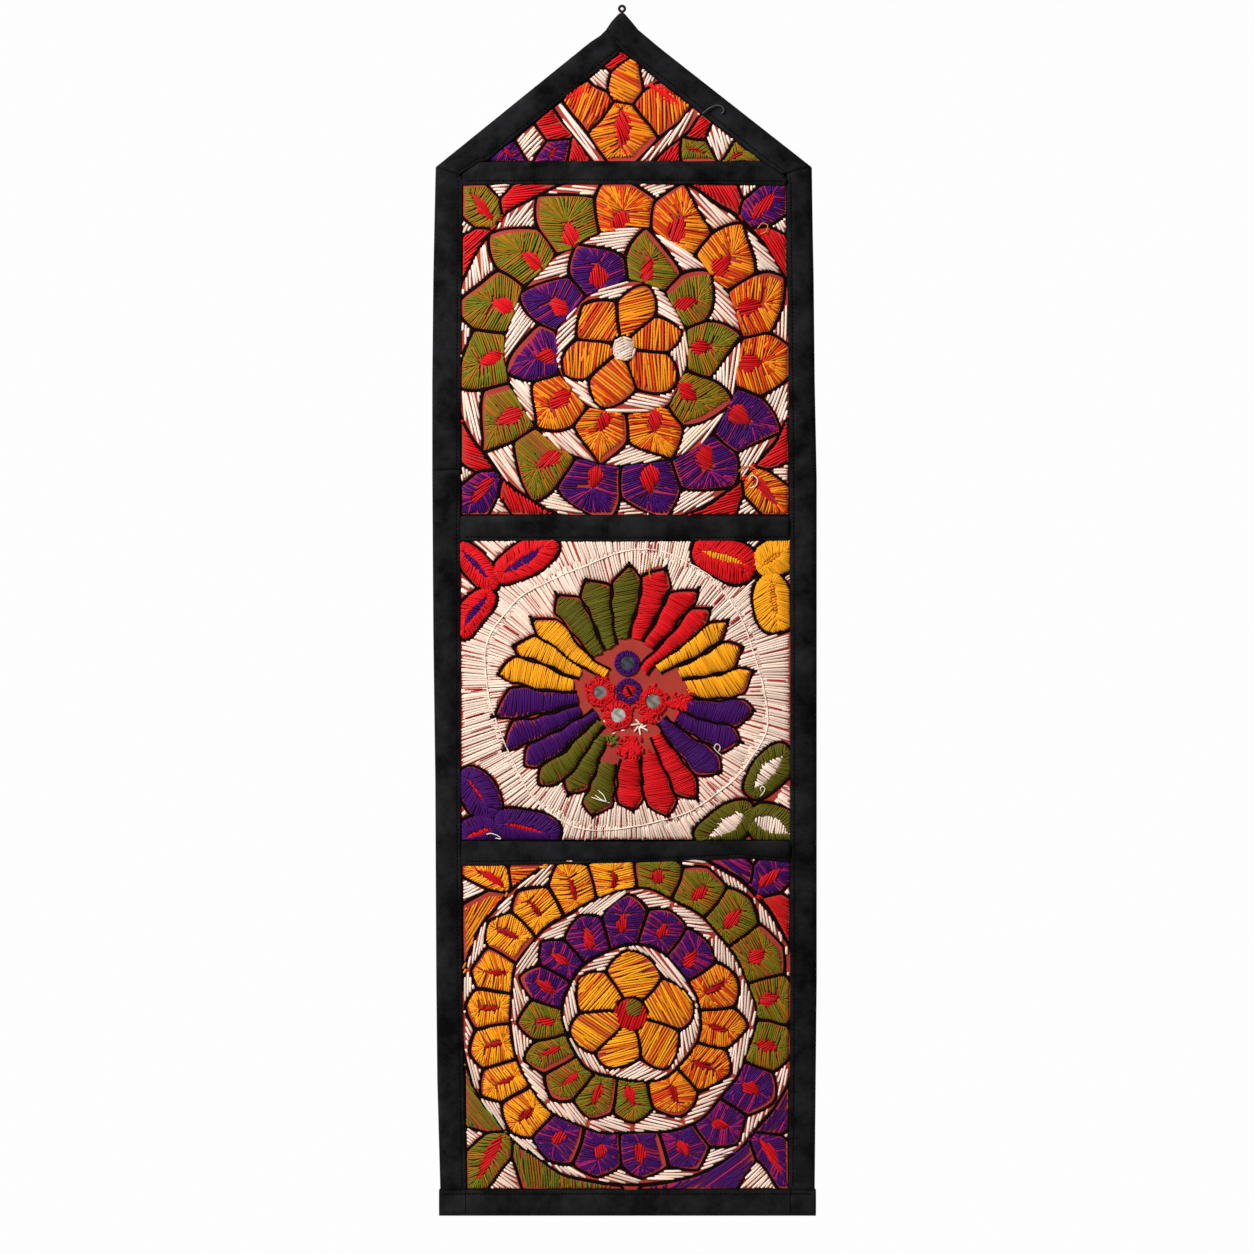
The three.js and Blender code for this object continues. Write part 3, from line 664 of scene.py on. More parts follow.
def add_stitch(panel, thread, start, end, width, raised=(0, 0), arch=0.35, stray=0.35, shade=1.0):
    """One stitch between two flat points (x, z). Everything after them is in millimetres."""
    # odd strands of orange and gold are partly painted shade between the strands
    usual, odd_or_shaded, share = TINTS[thread]
    is_odd_or_shaded = draw.random() < share * (panel != "pocket_2")
    tint = np.array(odd_or_shaded if is_odd_or_shaded else usual) * shade * draw.uniform(0.78, 1.16)
    strayed = draw.normal(0, stray * MM * 0.6, 4)
    width = width * MM * draw.uniform(0.86, 1.12)
    collections.setdefault((panel, thread), []).append((
        *(np.array([*start, *end]) + strayed), width, raised[0] * MM, raised[1] * MM, arch * MM,
        *tint,
    ))


def store_shade(piece, shades):
    """Keeps a shade of red, green and blue for each point of a piece."""
    shades = np.broadcast_to(shades, (len(piece.data.vertices), 3))
    layer = piece.data.color_attributes.new("shade", "FLOAT_COLOR", "POINT")
    layer.data.foreach_set("color", np.insert(shades, 3, 1.0, axis=1).ravel())


def strand_mesh(panel, thread, rows):
    """All stitches of one thread on one panel as a single mesh with shades and lengthwise UVs."""
    rows = np.array(rows)
    start, end = rows[:, 0:2], rows[:, 2:4]
    along = end - start
    length = np.maximum(np.hypot(along[:, 0], along[:, 1]), 0.1 * MM)
    along = along / length[:, None]
    side = np.stack([along[:, 1], -along[:, 0]], axis=1)
    t = LENGTH_SHARES[None, :]
    spine = start[:, None, :] + along[:, None, :] * (length[:, None] * t)[..., None]
    half = rows[:, 4, None] / 2 * WIDTH_SHARES
    ends = np.where((t == 0) | (t == 1), 1, 0)
    lift = (
        rows[:, 5, None] + (rows[:, 6] - rows[:, 5])[:, None] * np.sin(t * math.pi / 2)
        + rows[:, 7, None] * np.sin(t * math.pi) - DIP * ends
    )
    across = half[..., None] * np.cos(ROUND_ANGLES)
    height = half[..., None] * 2 * STRAND_HEIGHT * np.sin(ROUND_ANGLES)
    flat = spine[:, :, None, :] + side[:, None, None, :] * across[..., None]
    x, z = flat[..., 0], flat[..., 1]
    y = -(face_depth(panel, x, z) + lift[..., None] + height)
    points = np.stack([x, y, z], axis=-1).reshape(-1, 3)
    size = len(LENGTH_SHARES) * len(ROUND_ANGLES)
    pattern = grid_faces(len(LENGTH_SHARES), len(ROUND_ANGLES))
    faces = (pattern[None] + (np.arange(len(rows)) * size)[:, None, None]).reshape(-1, 4)
    piece = make_piece(f"{panel}_{thread}_thread", points, faces, f"thread_{thread}")
    store_shade(piece, np.repeat(rows[:, 8:11], size, axis=0))
    run = (length[:, None] * t / MM)[..., None] + np.zeros(len(ROUND_ANGLES))
    turn = np.broadcast_to(ROUND_ANGLES / math.pi * 3, run.shape)
    uv = np.stack([run, turn], axis=-1).reshape(-1, 2)
    corners = np.empty(len(piece.data.loops), dtype=np.int64)
    piece.data.loops.foreach_get("vertex_index", corners)
    piece.data.uv_layers.new(name="along").data.foreach_set("uv", uv[corners].ravel())
    return piece


print("stitch tints:", ", ".join(TINTS))

# %% [markdown]
# ## Outlines of the pattern
# The pattern is drawn on the cloth first, as closed outlines: petals, wedges and leaves. An
# outline is a row of flat points. A few small helpers work on them: one spaces the points evenly,
# one draws an outline in to leave room for the black line, and one finds where a stitch line
# enters and leaves it.


# %% Make helpers for outlines
def pointing(degrees):
    """The direction at an angle clockwise from straight up, as seen from the front."""
    return np.array([np.sin(np.radians(degrees)), np.cos(np.radians(degrees))]).T


def flat_point(x, z):
    """A flat point given in millimetres."""
    return np.array([x, z]) * MM


def turned(outline):
    """The next point for each point of an outline, and the turn from one to the next."""
    following = np.roll(outline, -1, axis=0)
    return following, outline[:, 0] * following[:, 1] - following[:, 0] * outline[:, 1]


def middle_of(outline):
    """Area centre of an outline."""
    following, turn = turned(outline)
    return ((outline + following) * turn[:, None]).sum(axis=0) / (3 * turn.sum())


def radius_of(outline):
    """Radius of the circle that covers as much as an outline."""
    return math.sqrt(abs(turned(outline)[1].sum()) / 2 / math.pi)


def spaced(path, step, closed=True):
    """Points at even distances along an outline or an open path."""
    path = np.concatenate([path, path[:1]]) if closed else np.asarray(path)
    reach = reach_along(path)
    count = max(3, round(reach[-1] / step) + (not closed))
    at = np.linspace(0, reach[-1], count, endpoint=not closed)
    return np.stack([np.interp(at, reach, column) for column in path.T], axis=1)


def drawn_in(outline, room, lean=(0, 0), softening=3):
    """An outline drawn in by a margin, more on the side that lean points to, and softened."""
    outline = spaced(outline, 1.6 * MM)
    ahead = np.roll(outline, -1, axis=0) - np.roll(outline, 1, axis=0)
    out = np.stack([ahead[:, 1], -ahead[:, 0]], axis=1) / np.hypot(*ahead.T)[:, None]
    if turned(outline)[1].sum() < 0:
        out = -out
    margin = room + np.maximum(0, out @ np.array(lean)) ** 2 / (2 * MM)
    outline = outline - out * margin[:, None]
    for _ in range(softening):
        outline = (2 * outline + np.roll(outline, 1, axis=0) + np.roll(outline, -1, axis=0)) / 4
    return outline


def chords(outline, point, heading):
    """The stretches of a line through a point that lie inside an outline."""
    following = np.roll(outline, -1, axis=0)
    side = np.array([heading[1], -heading[0]])
    a, b = (outline - point) @ side, (following - point) @ side
    crossing = (a > 0) != (b > 0)
    share = (a / np.where(a == b, 1, a - b))[crossing]
    hits = outline[crossing] + (following - outline)[crossing] * share[:, None]
    reach = np.sort((hits - point) @ heading)
    return [(point + heading * r0, point + heading * r1) for r0, r1 in zip(reach[::2], reach[1::2])]


def cut(outline, normal, limit):
    """The part of an outline where normal · point is under the limit."""
    kept = []
    inside = outline @ normal - limit if len(outline) else []
    for i in range(len(outline)):
        j = (i + 1) % len(outline)
        if inside[i] <= 0:
            kept.append(outline[i])
        if (inside[i] < 0) != (inside[j] < 0):
            kept.append(outline[i] + (outline[j] - outline[i]) * inside[i] / (inside[i] - inside[j]))
    return np.array(kept).reshape(-1, 2)


square = np.array([(0, 0), (1, 0), (1, 1), (0, 1)])
print("a square of 1 covers as much as a circle with a radius of", round(radius_of(square), 3))

# %% [markdown]
# ## The open face of each panel
# Only the face between the bindings and the bands shows, so the pattern is cut off there, just
# under the edge of the cotton. That face is a window with straight sides. Inside it the whole
# drawing is shifted a little by slow waves, as a hand would, and less near the edges.

# %% Find the window of each panel
UNDER_BAND = 0.9
CALM_EDGE = 18 * MM


def window_of(name):
    """The open face of a panel, anticlockwise, from under its band down to its foot."""
    panel = PANELS[name]
    foot = panel["foot"]
    if name == "gable_panel":
        left, right = (edge * MM for edge in (panel["left"][0], panel["right"][0]))
        return np.array([(0, panel["mouth"]), (left, foot), (right, foot)])
    edge = [(x * MM, (low + UNDER_BAND) * MM) for x, _, low in BANDS[f"band_{name[-1]}"]]
    inner = [point for point in edge if abs(point[0]) > 80 * MM and abs(point[0]) < 120 * MM]
    left, right = (float(side_edges(panel, edge[end][1])[-end]) for end in (0, -1))
    top = [(right, edge[-1][1])] + inner[::-1] + [(left, edge[0][1])]
    sides = side_edges(panel, foot)
    return np.array(top + [(float(sides[0]), foot), (float(sides[1]), foot)])


def window_sides(window):
    """A corner and the outward direction of each side of a window."""
    for corner, following in zip(window, np.roll(window, -1, axis=0)):
        edge = following - corner
        yield corner, np.array([edge[1], -edge[0]]) / math.hypot(*edge)


def clipped(panel, outline):
    """The part of an outline inside a panel's window."""
    for corner, out in window_sides(WINDOWS[panel]):
        outline = cut(outline, out, out @ corner)
    return outline


def outside_window(panel, points, margin=0.0):
    """Which points lie more than a margin outside a panel's window."""
    return np.any([(points - corner) @ out > margin
                   for corner, out in window_sides(WINDOWS[panel])], axis=0)


def warped(panel, points):
    """Moves the drawing a little, as a hand would, but not at the edges of the panel."""
    points = np.asarray(points)
    room = np.min([(out @ corner - points @ out) / CALM_EDGE
                   for corner, out in window_sides(WINDOWS[panel])], axis=0)
    x, z = points[..., 0] / MM, points[..., 1] / MM
    shift_x = 1.7 * np.sin(z / 19 + 0.5) + 1.0 * np.sin((x + z) / 9.5)
    shift_z = 1.7 * np.sin(x / 17 + 1.1) + 1.0 * np.sin((x - z) / 10.5 + 2)
    return points + np.stack([shift_x, shift_z], axis=-1) * np.clip(room, 0, 1)[..., None] * MM


WINDOWS = {name: window_of(name) for name in PANELS}
print("windows:", {name: np.round(window / MM).astype(int).tolist()
                   for name, window in WINDOWS.items()})

# %% [markdown]
# ## Black lines
# All the shapes are parted by lines of black stem stitch, a stitch that makes a thin rope on the
# cloth. The line is one half-round strand along the drawn path. Its height rises and falls
# slantwise, once for every stitch, and it grows broader where it meets other lines.

# %% Lay a line of stem stitch
LINE_STEP = 1.3 * MM
STEM_STITCH = 3.4 * MM
LINE_ANGLES = np.radians([0, 50, 90, 130, 180])
lines = {name: [] for name in PANELS}


def black_line(panel, path, width=3.0, closed=False, height=1.0):
    """Adds a line of stem stitch along a flat path. width and height are in millimetres."""
    path = spaced(path, LINE_STEP, closed)
    if closed:
        path = np.concatenate([path, path[:1]])
    hidden = outside_window(panel, path, 1.5 * MM)
    start = 0
    for i in range(1, len(path) + 1):
        if i == len(path) or hidden[i] != hidden[start]:
            if not hidden[start] and i - start > 2:
                lines[panel].append((path[start:i], width * draw.uniform(0.9, 1.12), height))
            start = i


def line_mesh(panel):
    """All the black lines of a panel as one mesh."""
    points, faces, start = [], [], 0
    for path, width, height in lines[panel]:
        path = warped(panel, path)
        ahead = np.gradient(path, axis=0)
        ahead /= np.maximum(np.hypot(*ahead.T), 1e-9)[:, None]
        side = np.stack([ahead[:, 1], -ahead[:, 0]], axis=1)
        reach = np.arange(len(path)) * LINE_STEP
        to_end = np.minimum(reach, reach[-1] - reach)
        swell = 1 + 0.55 * np.exp(-to_end / (2.2 * MM)) + 0.12 * np.sin(reach / (9 * MM) + start)
        half = width / 2 * swell * MM
        slant = np.cos(LINE_ANGLES) * 1.3
        rope = 0.8 + 0.2 * np.sin(2 * math.pi * reach[:, None] / STEM_STITCH + slant)
        flat = path[:, None, :] + side[:, None, :] * (half[:, None] * np.cos(LINE_ANGLES))[..., None]
        lift = height * MM * np.sin(LINE_ANGLES) * rope - 0.2 * MM
        depth = face_depth(panel, flat[..., 0], flat[..., 1]) + lift
        points.append(np.stack([flat[..., 0], -depth, flat[..., 1]], axis=-1).reshape(-1, 3))
        faces.append(grid_faces(len(path), len(LINE_ANGLES)) + start)
        start += len(path) * len(LINE_ANGLES)
    piece = make_piece(f"{panel}_lines", np.concatenate(points), np.concatenate(faces),
                       "thread_black")
    store_shade(piece, 1.0)
    piece.data.uv_layers.new(name="along")
    return piece


print("a line has a point every", LINE_STEP / MM, "mm")

# %% [markdown]
# ## Fillings
# Two fillings cover nearly everything. Satin stitch lays parallel strands across a shape from edge
# to edge. The leafed petals are filled with long and short strands that run in from the outline
# to a small red leaf, and the leaf is satin along its own length. Shapes are drawn in on one side
# by chance, which leaves a sliver of brick cloth bare, and a few short stitches stray across the
# others.


# %% Fill shapes with stitches
def fleck(panel, thread, start, end, width):
    """Now and then a shorter stitch that strays across the others, as in quick hand work."""
    if panel == "pocket_2" or thread in ("cream", "red") or draw.random() > 0.36:
        return
    sine, cosine = pointing(draw.normal(0, 11))
    along = np.array([[cosine, sine], [-sine, cosine]]) @ (end - start)
    first = start + (end - start) * draw.uniform(0.08, 0.5)
    last = first + along * draw.uniform(0.28, 0.45)
    add_stitch(panel, thread, *warped(panel, [first, last]), width * draw.uniform(0.75, 1),
               raised=(0.75, 0.75), arch=0.35, shade=draw.uniform(0.85, 1.12))


def satin(panel, thread, outline, degrees, pitch, raised=0.5, cover=0.72, arch=0.35, shade=1.0):
    """Parallel stitches across an outline, at an angle and a pitch in millimetres."""
    side = pointing(degrees + 90)
    across = outline @ side
    middle = middle_of(outline)
    at = across.min() + pitch * MM * draw.uniform(0.25, 0.6)
    while at < across.max():
        swing = pointing(degrees + draw.normal(0, 2.2))
        for found in chords(outline, middle + side * (at - middle @ side), swing):
            if math.hypot(*(found[1] - found[0])) > 1.4 * MM:
                add_stitch(panel, thread, *warped(panel, found), pitch * cover,
                           (0, 0), raised * draw.uniform(0.85, 1.15) + arch, shade=shade)
                fleck(panel, thread, *found, pitch * cover)
        at += pitch * MM * draw.uniform(0.85, 1.15)


def leaf_half_at(share, half):
    """Half width of a pointed leaf at a share of its length."""
    return half * np.sin(math.pi * np.clip(share, 0, 1) ** 0.8)


def leaf_outline(leaf, half):
    """A pointed oval round an axis."""
    along = leaf[1] - leaf[0]
    side = np.array([along[1], -along[0]]) / math.hypot(*along)
    shares = np.linspace(0, 1, 11)[:, None]
    spine, widths = leaf[0] + along * shares, side * leaf_half_at(shares, half)
    return np.concatenate([(spine + widths)[:-1], (spine - widths)[:0:-1]])


def fan(panel, thread, outline, leaf, half, pitch, raised=0.9, cover=0.74, arch=0.3, shade=1.0):
    """Stitches from the outline in to the leaf, long and short in turn where they crowd."""
    along = leaf[1] - leaf[0]
    for number, start in enumerate(spaced(outline, pitch * MM)):
        level = (start - leaf[0]) @ along / (along @ along)
        share = float(np.clip(0.85 * level - 0.08 + draw.normal(0, 0.03), 0.04, 0.97))
        inward = leaf[0] + along * share - start
        distance = math.hypot(*inward)
        whole = distance - leaf_half_at(share, half) * 0.6
        if whole < 1.5 * MM:
            continue
        crowded = not 0.05 < level < 1.1
        part = (0.99, 0.55, 0.8, 0.5)[number % 4] if crowded else draw.uniform(0.86, 1.02)
        end = start + inward / distance * whole * part
        add_stitch(panel, thread, *warped(panel, [start, end]), pitch * cover,
                   (0.1, raised * part), arch, shade=shade)
        fleck(panel, thread, start, end, pitch * cover)


MOSS = np.array([1.35, 1.12, 0.85])
LEAVES = {
    # where a leaf starts and ends along its petal, and half its width as a share of the petal's
    "root": ((0.0, 0.02), (0.46, 0.6), (0.14, 0.18)),
    "whole": ((0.05, 0.07), (0.84, 0.88), (0.14, 0.18)),
    "slit": ((0.12, 0.24), (0.66, 0.82), (0.06, 0.1)),
    "blob": ((0.14, 0.28), (0.66, 0.8), (0.12, 0.17)),
}


def stitch_shape(panel, shape, pitches):
    """Fills one drawn shape with satin, or with a fan round a leaf of another colour."""
    thread, turn = shape["thread"], shape["turn"]
    aside = draw.choice([0, 0.8, 1.4] if thread in ("cream", "red") else [0, 1.2, 2.0, 2.7])
    lean = pointing(turn + draw.normal(0, 50)) * aside * MM
    outline = drawn_in(shape["outline"], draw.uniform(1.1, 1.4) * MM, lean)
    pitch = pitches[thread]
    if shape["leaf"] is None:
        satin(panel, thread, outline, shape["slant"] + draw.normal(0, 6), pitch,
              raised=0.4 if thread == "cream" else 0.8, cover=0.82)
        return
    axis = pointing(turn + draw.normal(0, 7))
    middle = middle_of(outline)
    reaches = (outline - middle) @ axis
    width = np.ptp((outline - middle) @ pointing(turn + 90))
    near, far, broad = (draw.uniform(*ends) for ends in LEAVES[shape["leaf"]])
    leaf = middle + axis * (reaches.min() + np.ptp(reaches) * np.array([near, far]))[:, None]
    fan(panel, thread, outline, leaf, width * broad, pitch, shade=MOSS if thread == "green" else 1.0)
    satin(panel, "red", leaf_outline(leaf, width * broad), turn + draw.normal(0, 14), 1.7,
          raised=1.1, cover=1.0, shade=0.6 if shape["leaf"] == "slit" else 0.9)


print("kinds of leaf:", ", ".join(LEAVES))

# %% [markdown]
# ## The two ringed pockets
# The first and third pockets share one plan: a round middle, a ring of plain petals, a ring of
# petals with red leaves and a larger ring of the same. Each ring of petals is arched on the
# outside, and cream wedges fill the valleys between the arches up to the circle on which the next
# ring stands. A leaf fills each corner, with a wedge on either side. The petals change colour in
# runs, written here clockwise from the top, one letter for each petal.

# %% Plan the ringed pockets
LETTERS = {"O": "orange", "Y": "gold", "R": "red", "P": "purple", "G": "green", "C": "cream"}
RINGED = {
    "pocket_1": dict(
        middle=(1.6, -273.6), heart=8.5,
        rings=[
            dict(circle=54, tip=3, valley=17, colours="OOOOOO", leaf=None, skew=0, slope=1,
                 turns=[20, 66, 123, 205, 253, 320]),
            dict(circle=95, tip=0, valley=22, colours="GGGGOOOPPP", leaf="root", skew=-0.2,
                 slope=0.72, turn=17, swing=0),
            dict(circle=141, tip=0, valley=21, colours="OOOOOPPPPGGGGGG", leaf="root", skew=-0.2,
                 slope=0.72, turn=1, swing=0),
        ],
        corners=("PRR", "ORR", "PRR", "GRR"),
        pitches=dict(orange=2.2, purple=1.9, green=2.0, cream=2.5, red=1.9),
    ),
    "pocket_3": dict(
        middle=(7.2, -804.8), heart=12.5,
        rings=[
            dict(circle=55, tip=5, valley=15, colours="YYYYYY", leaf=None, skew=0, slope=1,
                 turns=[4, 78, 140, 199, 249, 300]),
            dict(circle=98, tip=7, valley=16, colours="PPPOOOOGGGGGPPP", leaf="slit", skew=0,
                 slope=1, turn=-5, swing=14),
            dict(circle=138, tip=4, valley=13, colours="YGGGGGGPPPPPPYYYYYYYY", leaf="slit",
                 skew=0, slope=1, turn=-8, swing=13),
        ],
        corners=("PPR", "PPP", "GGG", "YOO"),
        pitches=dict(orange=2.0, gold=2.0, purple=1.8, green=1.9, cream=2.3, red=1.9),
    ),
}
CORNER_PLACES = [
    # turn from the diagonal, distance from the middle and size in millimetres, leaf
    (0, 165, 14, "whole"), (-11.5, 146, 11, None), (11.5, 146, 11, None), (-7.6, 164, 2, None),
    (7.6, 164, 2, None),
]
print("petals in rings:", {panel: sum(len(ring["colours"]) for ring in plan["rings"])
                           for panel, plan in RINGED.items()})

# %% [markdown]
# ## Drawing a ring
# A ring is worked out in angles and distances from its middle, since such a flower is marked out
# on cloth with circles first and then petal by petal. A petal's arch is two curves from its tip
# down to the valleys beside it, and what is left between a valley and the next circle becomes a
# cream wedge. The circles waver a little, as a hand does.

# %% Draw a ring of petals
WEDGE_LEAST = 2.6 * MM


def ring_turns(ring):
    """The angles of a ring's petals, evenly spaced or swung towards one side."""
    if "turns" in ring:
        return np.array(ring["turns"], float)
    share = np.arange(len(ring["colours"])) / len(ring["colours"])
    even = ring["turn"] + 360 * share + ring["swing"] * (1 - np.cos(2 * math.pi * share)) / 2
    return even + draw.normal(0, 0.8, len(even))


def circle_reach(number, circle, turns):
    """A hand-drawn circle: its radius wavers a little round the turn."""
    wave = 0.9 * np.sin(np.radians(3 * turns + 70 * number))
    return (circle + wave + 0.6 * np.sin(np.radians(5 * turns + 40))) * MM


def polar(centre, turns, reaches):
    """Flat points at angles and distances from a centre."""
    return centre + pointing(turns) * np.asarray(reaches)[:, None]


def arch_half(tip_turn, tip_reach, side_turn, side_reach, power):
    """Half of a petal's arch as angles and distances, from its tip to the valley on one side."""
    share = np.linspace(0, 1, 7)
    turns = tip_turn + (side_turn - tip_turn) * share
    return turns, tip_reach + (side_reach - tip_reach) * share**power


def ring_shapes(panel, centre, number, inner, ring):
    """Draws one ring: its petals, the wedges in its valleys and all its black lines."""
    turns = ring_turns(ring)
    count = len(turns)
    valleys = (turns + np.append(turns[1:], turns[0] + 360)) / 2
    tips = turns + (ring["skew"] + draw.uniform(-0.1, 0.1, count)) * 360 / count
    tip_reaches = circle_reach(number, ring["circle"], tips) - (
        ring["tip"] * draw.uniform(0.5, 1.3, count)) * MM
    valley_reaches = (ring["circle"] - ring["valley"] * draw.uniform(0.85, 1.15, count)) * MM
    powers = draw.uniform(1.15, 1.6, count)
    shapes = []
    for i in range(count):
        before, after = (i - 1) % count, (i + 1) % count
        left_turn = valleys[before] - (360 if i == 0 else 0)
        left = arch_half(tips[i], tip_reaches[i], left_turn, valley_reaches[before], powers[i])
        right = arch_half(tips[i], tip_reaches[i], valleys[i], valley_reaches[i],
                          powers[i] * ring["slope"])
        base_turns = np.linspace(valleys[i], left_turn, 7)
        base = polar(centre, base_turns, circle_reach(number - 1, inner, base_turns))
        arch = np.concatenate([polar(centre, left[0][::-1], left[1][::-1]),
                               polar(centre, right[0][1:], right[1][1:])])
        thread, leaf = LETTERS[ring["colours"][i]], ring["leaf"]
        if leaf == "slit" and thread in ("purple", "green"):
            leaf = "blob"
        shapes.append(dict(outline=np.concatenate([arch, base]), turn=turns[i], thread=thread,
                           leaf=leaf, slant=turns[i] + draw.choice([60, 85, 110])))
        black_line(panel, arch)
        foot = circle_reach(number - 1, inner, valleys[i])
        black_line(panel, polar(centre, valleys[[i, i]], [foot, valley_reaches[i]]))
        far = arch_half(tips[after] + (360 if after == 0 else 0), tip_reaches[after], valleys[i],
                        valley_reaches[i], powers[after])
        floor_turns, floor_reaches = (
            np.concatenate([near_side, far_side[::-1][1:]]) for near_side, far_side in zip(right, far)
        )
        dense = np.linspace(floor_turns[0], floor_turns[-1], 40)
        low = np.interp(dense, floor_turns, floor_reaches)
        high = circle_reach(number, ring["circle"], dense)
        broad = high - low > WEDGE_LEAST
        if broad.sum() > 4:
            wedge = np.concatenate([polar(centre, dense[broad], low[broad]),
                                    polar(centre, dense[broad][::-1], high[broad][::-1])])
            shapes.append(dict(outline=wedge, turn=valleys[i], thread="cream", leaf=None,
                               slant=valleys[i] + 90 + draw.uniform(-28, 28)))
    round_turns = np.linspace(0, 360, 121)
    circle = circle_reach(number, ring["circle"], round_turns)
    black_line(panel, polar(centre, round_turns, circle), width=3.1)
    return shapes


wavering = circle_reach(0, 54, np.arange(360)) / MM
print("a circle of 54 mm wavers from", round(wavering.min(), 1), "to", round(wavering.max(), 1))

# %% [markdown]
# ## Filling the corners
# Beyond the last circle stand a leaf and the wedges beside it. Each shape is the part of the
# corner that is nearest to its own middle, so together they fill the corner without a gap,
# whatever form the circle and the window leave.


# %% Divide the corners
def nearest_part(places, sizes, number, window):
    """The part of a window that is nearest to one place of a list, larger sizes taking more."""
    outline = window
    for other, place in enumerate(places):
        if other != number and len(outline) > 2:
            apart = place - places[number]
            gap = math.hypot(*apart)
            halfway = gap / 2 + (sizes[number] ** 2 - sizes[other] ** 2) / (2 * gap)
            outline = cut(outline, apart / gap, apart @ places[number] / gap + halfway)
    return outline


def corner_shapes(panel, centre, circle, corners):
    """The leaf in each corner beyond the last circle, and the wedges beside it."""
    shapes = []
    for number, letters in enumerate(corners):
        diagonal = 45 + 90 * number
        axis = pointing(diagonal)
        turns = [diagonal + row[0] for row in CORNER_PLACES]
        places = [centre + pointing(turn) * row[1] * MM + draw.normal(0, 1.2, 2) * MM
                  for turn, row in zip(turns, CORNER_PLACES)]
        sizes = [row[2] * MM for row in CORNER_PLACES]
        for i, letter in enumerate(letters + "CC"):
            outline = nearest_part(places, sizes, i, WINDOWS[panel])
            outline = cut(outline, -axis, -(axis @ centre) - circle * 0.75 * MM)
            if len(outline) < 3:
                continue
            away = spaced(outline, 2 * MM) - centre
            reach = np.hypot(*away.T)
            outline = centre + away * (np.maximum(reach, circle * MM) / reach)[:, None]
            if radius_of(outline) > 3 * MM:
                shapes.append(dict(outline=outline, turn=turns[i], thread=LETTERS[letter],
                                   leaf=CORNER_PLACES[i][3],
                                   slant=diagonal + draw.choice([75, 100, 125])))
                black_line(panel, outline, closed=True, width=2.7)
    return shapes


print("places for shapes in a corner:", len(CORNER_PLACES))

# %% [markdown]
# ## Stitching both pockets
# The whole plan of a pocket is drawn first and then stitched shape by shape. Whatever runs over
# the edge of the window is cut off there, and shapes that are cut to almost nothing are left out.

# %% Draw and stitch the ringed pockets
for panel, plan in RINGED.items():
    centre = flat_point(*plan["middle"])
    inner = plan["heart"]
    shapes = []
    black_line(panel, polar(centre, np.linspace(0, 360, 25), np.full(25, inner * MM)))
    for number, ring in enumerate(plan["rings"]):
        shapes += ring_shapes(panel, centre, number, inner, ring)
        inner = ring["circle"]
    shapes += corner_shapes(panel, centre, inner, plan["corners"])
    for shape in shapes:
        shape["outline"] = clipped(panel, shape["outline"])
        if len(shape["outline"]) > 3 and radius_of(shape["outline"]) > 2.5 * MM:
            stitch_shape(panel, shape, plan["pitches"])
    print(panel, "holds", len(shapes), "shapes and",
          sum(len(rows) for at, rows in collections.items() if at[0] == panel), "stitches")

# %% [markdown]
# ## The gable
# The small triangle is a freer piece of the same work. Two slanting cream bands part it. Between
# them stand four broad orange petals, beyond them lie red wedges with a purple leaf on the left
# and green leaves on the right. Each shape is the part of its field that is nearest to its own
# middle, with larger shapes pushing the lines away, which gives the crooked outlines of free hand
# work. Two red patches are sewn over the finished petals.

# %% Stitch the gable
GABLE_BANDS = {
    # upper end and lower end, x and z in millimetres
    "left": ((-52, -76), (-19, -121)),
    "right": ((62, -79), (20, -121)),
}
BAND_HALF = 4.7 * MM
GABLE_SHAPES = [
    # field, x, z, size, thread, leaf, slant of the stitches or direction of the leaf
    ("middle", -8.6, -41.4, 4, "red", None, 60),
    ("middle", 4.0, -57.5, 11, "orange", None, 110),
    ("middle", -17.0, -55.0, 3, "cream", None, 140),
    ("middle", 20.5, -55.5, 3, "cream", None, 200),
    ("middle", -30.0, -74.5, 14, "orange", None, 25),
    ("middle", 33.0, -77.0, 16, "orange", None, 170),
    ("middle", -1.0, -101.5, 18, "orange", "whole", 180),
    ("left", -56.0, -93.0, 11, "red", None, 80),
    ("left", -74.0, -104.0, 8, "cream", None, 40),
    ("left", -55.0, -113.0, 8, "purple", "slit", 35),
    ("left", -92.0, -115.0, 6, "purple", "slit", 120),
    ("left", -33.0, -115.0, 6, "red", None, 150),
    ("right", 61.0, -94.0, 6, "red", None, 60),
    ("right", 76.0, -103.5, 8, "cream", None, 160),
    ("right", 59.0, -113.5, 9, "green", "slit", 115),
    ("right", 36.0, -116.0, 6, "red", None, 30),
    ("right", 98.0, -117.5, 8, "green", "slit", 60),
]
GABLE_PATCHES = [
    # start and end of the axis, x and z, and half width in millimetres, slant of the stitches
    ((-46, -75), (-24, -60), 4.6, 20),
    ((19, -59), (53, -83), 5.0, 125),
]
GABLE_PITCHES = dict(orange=2.3, purple=1.8, green=1.9, cream=2.5, red=1.8)
# the slant of the stitches in the left and the right band
BAND_SLANTS = (153, 216)


def beside(field, ends, way, room):
    """The part of a field on one side of a slanting line, way +1 for its right."""
    start, end = np.array(ends) * MM
    along = (start - end) / math.hypot(*(start - end))
    across = np.array([along[1], -along[0]]) * way
    return cut(field, -across, -(across @ end) - room)


